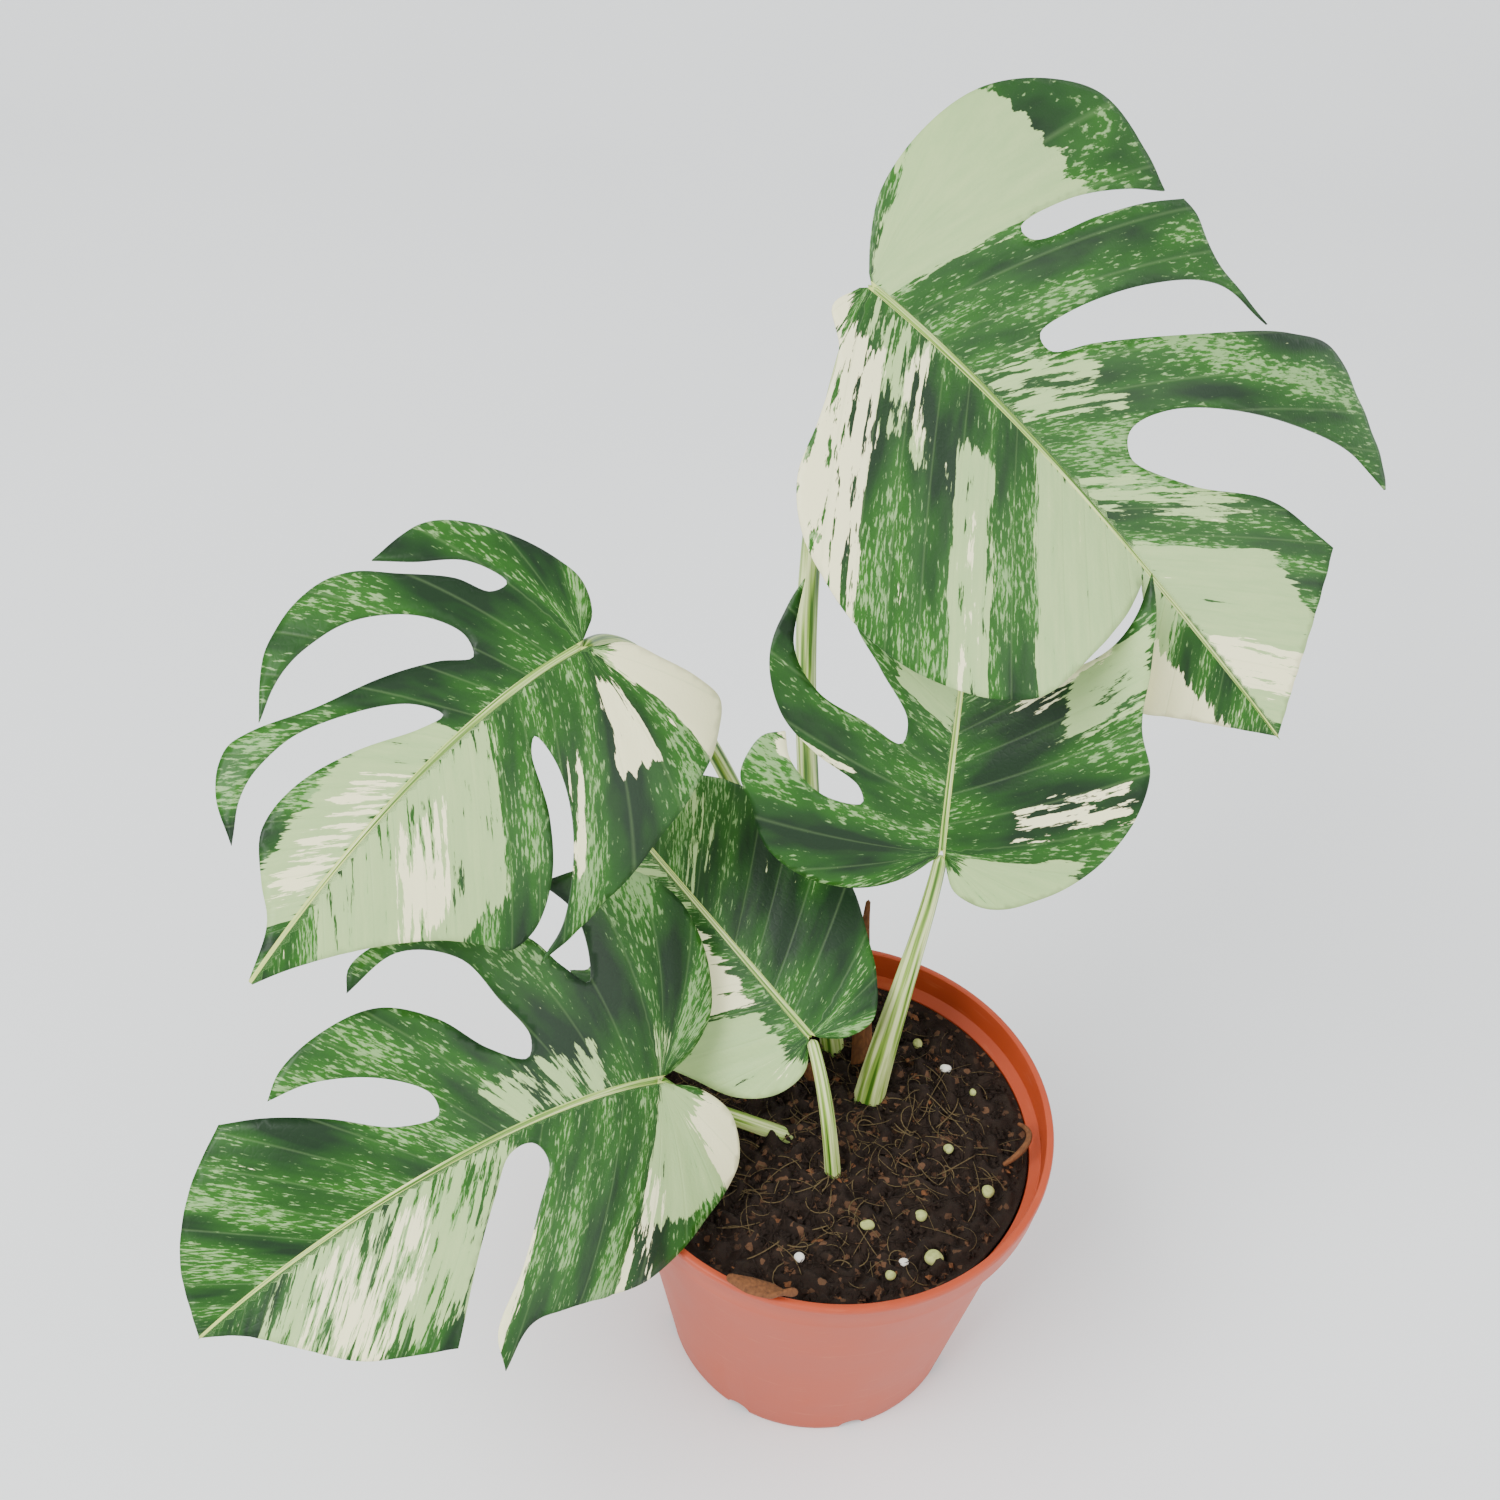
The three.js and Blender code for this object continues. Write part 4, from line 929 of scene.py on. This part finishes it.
def roots(name, count, finish):
    """Three-sided threads along a bent line: start, heading and bend are random, 8 to 26 mm long."""
    x, y = scattered(count, SOIL_RADIUS - 12)
    heading, bend = dice.uniform(0, 2 * math.pi, count), dice.normal(0, 1.6, count)
    length, thick = dice.uniform(6, 20, count), dice.uniform(0.1, 0.26, count)
    share = np.linspace(0, 1, 8)
    way = heading[:, None] + bend[:, None] * share
    step = length[:, None] / 7
    px = x[:, None] + np.cumsum(np.cos(way) * step, axis=1)
    py = y[:, None] + np.cumsum(np.sin(way) * step, axis=1)
    inward = np.minimum(1, (SOIL_RADIUS - 2) / np.hypot(px, py))
    px, py = px * inward, py * inward
    pz = soil_top(px, py) + 0.9 + 1.3 * np.sin(math.pi * share) * dice.uniform(0, 1, count)[:, None]
    side = np.stack([-np.sin(way), np.cos(way), np.zeros_like(way)], -1)
    up = np.array([0, 0, 1.0])
    line = np.stack([px, py, pz], -1)
    corner = [side * math.cos(a) + up * math.sin(a) for a in (0, 2 * math.pi / 3, 4 * math.pi / 3)]
    points = np.stack([line + c * thick[:, None, None] for c in corner], 2).reshape(-1, 3)
    first = 24 * np.arange(count)[:, None, None]
    faces = (grid_faces(8, 3)[None] + first).reshape(-1, 4).tolist()
    ends = np.array([[2, 1, 0], [21, 22, 23]])
    faces += (ends[None] + first).reshape(-1, 3).tolist()
    make_piece(name, points, faces, finish)


heap("soil_crumbs", 3200, (0.6, 2.0), SOIL, 0.8)
heap("bark_bits", 90, (1.0, 2.6), DRY, 0.35)
roots("fine_roots", 330, ROOT)
roots("dark_fibres", 420, SOIL)

# %% [markdown]
# ## Pellets and perlite
# Coated fertiliser pellets are small squashed balls with a dull skin, and perlite is popped volcanic glass,
# white and pitted. Both are balls from two angles, dented by a few waves.

# %% Grains
def grain_material(name, dark, pale):
    """Dull skin: two close tones in 1 mm patches and a pitted surface."""
    made, tree, shader = new_material(name, Roughness=0.75, IOR=1.45)
    place = add(tree, "TexCoord").outputs["Object"]
    tone = add(tree, "TexNoise", {"Vector": place, "Scale": 700.0, "Detail": 3.0})
    bump = add(tree, "Bump", {"Height": tone.outputs[0], "Strength": 0.4, "Distance": 0.0004})
    tree.links.new(bump.outputs[0], shader.inputs["Normal"])
    colour = add(tree, "Mix", {0: tone.outputs[0], 6: linear(dark), 7: linear(pale)},
                 data_type="RGBA").outputs[2]
    tree.links.new(colour, shader.inputs["Base Color"])
    return made


PELLET = grain_material("coated_fertiliser_resin", "#77803a", "#c9cf86")
PERLITE = grain_material("expanded_perlite", "#cfcabb", "#f7f5ee")


def make_grain(node, finish):
    """Ball from two angles that fills its node's box, with waves of 6% on its radius."""
    low, high = (np.array(corner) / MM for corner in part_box(node))
    rise = np.linspace(0, math.pi, 16)[1:-1, None]
    turn = np.linspace(0, 2 * math.pi, 24, endpoint=False)[None]
    dent = 0.94 + 0.05 * np.sin(3 * turn + low[0]) * np.sin(2 * rise + low[1])
    ball = np.stack([np.sin(rise) * np.cos(turn) * dent, np.sin(rise) * np.sin(turn) * dent,
                     np.cos(rise) * dent], -1).reshape(-1, 3)
    poles = np.array([[0, 0, 0.94], [0, 0, -0.94]])
    points = (low + high) / 2 + np.vstack([ball, poles]) * (high - low) / 2
    side = np.arange(24)
    nearby = (side + 1) % 24
    last = 13 * 24
    faces = grid_faces(14, 24)[:, ::-1].tolist()
    faces += np.stack([side, nearby, np.full(24, len(ball))], 1).tolist()
    faces += np.stack([last + nearby, last + side, np.full(24, len(ball) + 1)], 1).tolist()
    make_piece(f"{node}_grain", points, faces, finish, [node])


for node in sorted(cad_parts):
    if node.startswith("pellet"):
        make_grain(node, PELLET)
    if node.startswith("perlite"):
        make_grain(node, PERLITE)

# %% [markdown]
# ## Studio
# A plain pale floor that turns up into a wall, and large soft lights: one from the upper left, a weaker fill
# from the right, and pale surroundings.

# %% Floor and lights
def make_studio():
    """Floor strip carried back and up round a quarter circle, wide enough for every view."""
    bend = np.radians(np.linspace(0, 90, 24))
    y = np.concatenate([[-3.0], 1.2 + 0.6 * np.sin(bend), [1.8]])
    z = np.concatenate([[0.0], 0.6 - 0.6 * np.cos(bend), [3.0]])
    left = np.stack([np.full(len(y), -4.0), y, z], 1)
    points = np.vstack([left, left * [-1, 1, 1]])
    n = len(y)
    faces = [[i, n + i, n + i + 1, i + 1] for i in range(n - 1)]
    mesh = bpy.data.meshes.new("floor")
    mesh.from_pydata(points.tolist(), [], faces)
    mesh.polygons.foreach_set("use_smooth", np.full(len(faces), True))
    finish, tree, shader = new_material("pale_painted_board", Roughness=0.7)
    place = add(tree, "TexCoord").outputs["Object"]
    tone = add(tree, "TexNoise", {"Vector": place, "Scale": 3.0, "Detail": 2.0})
    colour = add(tree, "Mix", {0: tone.outputs[0], 6: linear("#eff1f1"), 7: linear("#f7f8f8")},
                 data_type="RGBA").outputs[2]
    tree.links.new(colour, shader.inputs["Base Color"])
    mesh.materials.append(finish)
    floor = bpy.data.objects.new("floor", mesh)
    bpy.context.scene.collection.objects.link(floor)


def add_light(name, place, target, size, power):
    """Square area light at place, turned so that it shines on target."""
    light = bpy.data.objects.new(name, bpy.data.lights.new(name, "AREA"))
    light.data.size = size
    light.data.energy = power
    aim = unit(np.array(place) - np.array(target))
    side = unit(np.cross([0, 0, 1], aim))
    turn = Matrix(np.stack([side, np.cross(aim, side), aim], axis=1).tolist()).to_4x4()
    turn.translation = place
    light.matrix_world = turn
    bpy.context.scene.collection.objects.link(light)


make_studio()
add_light("key", (-1.2, -0.9, 1.9), (-0.03, 0, 0.2), 1.4, 62)
add_light("fill", (1.5, -0.8, 1.2), (-0.03, 0, 0.2), 1.6, 22)
world = bpy.data.worlds.new("studio")
world.use_nodes = True
world.node_tree.nodes["Background"].inputs["Color"].default_value = linear("#f2f5f8")
world.node_tree.nodes["Background"].inputs["Strength"].default_value = 1.05
bpy.context.scene.world = world
print("studio ready")
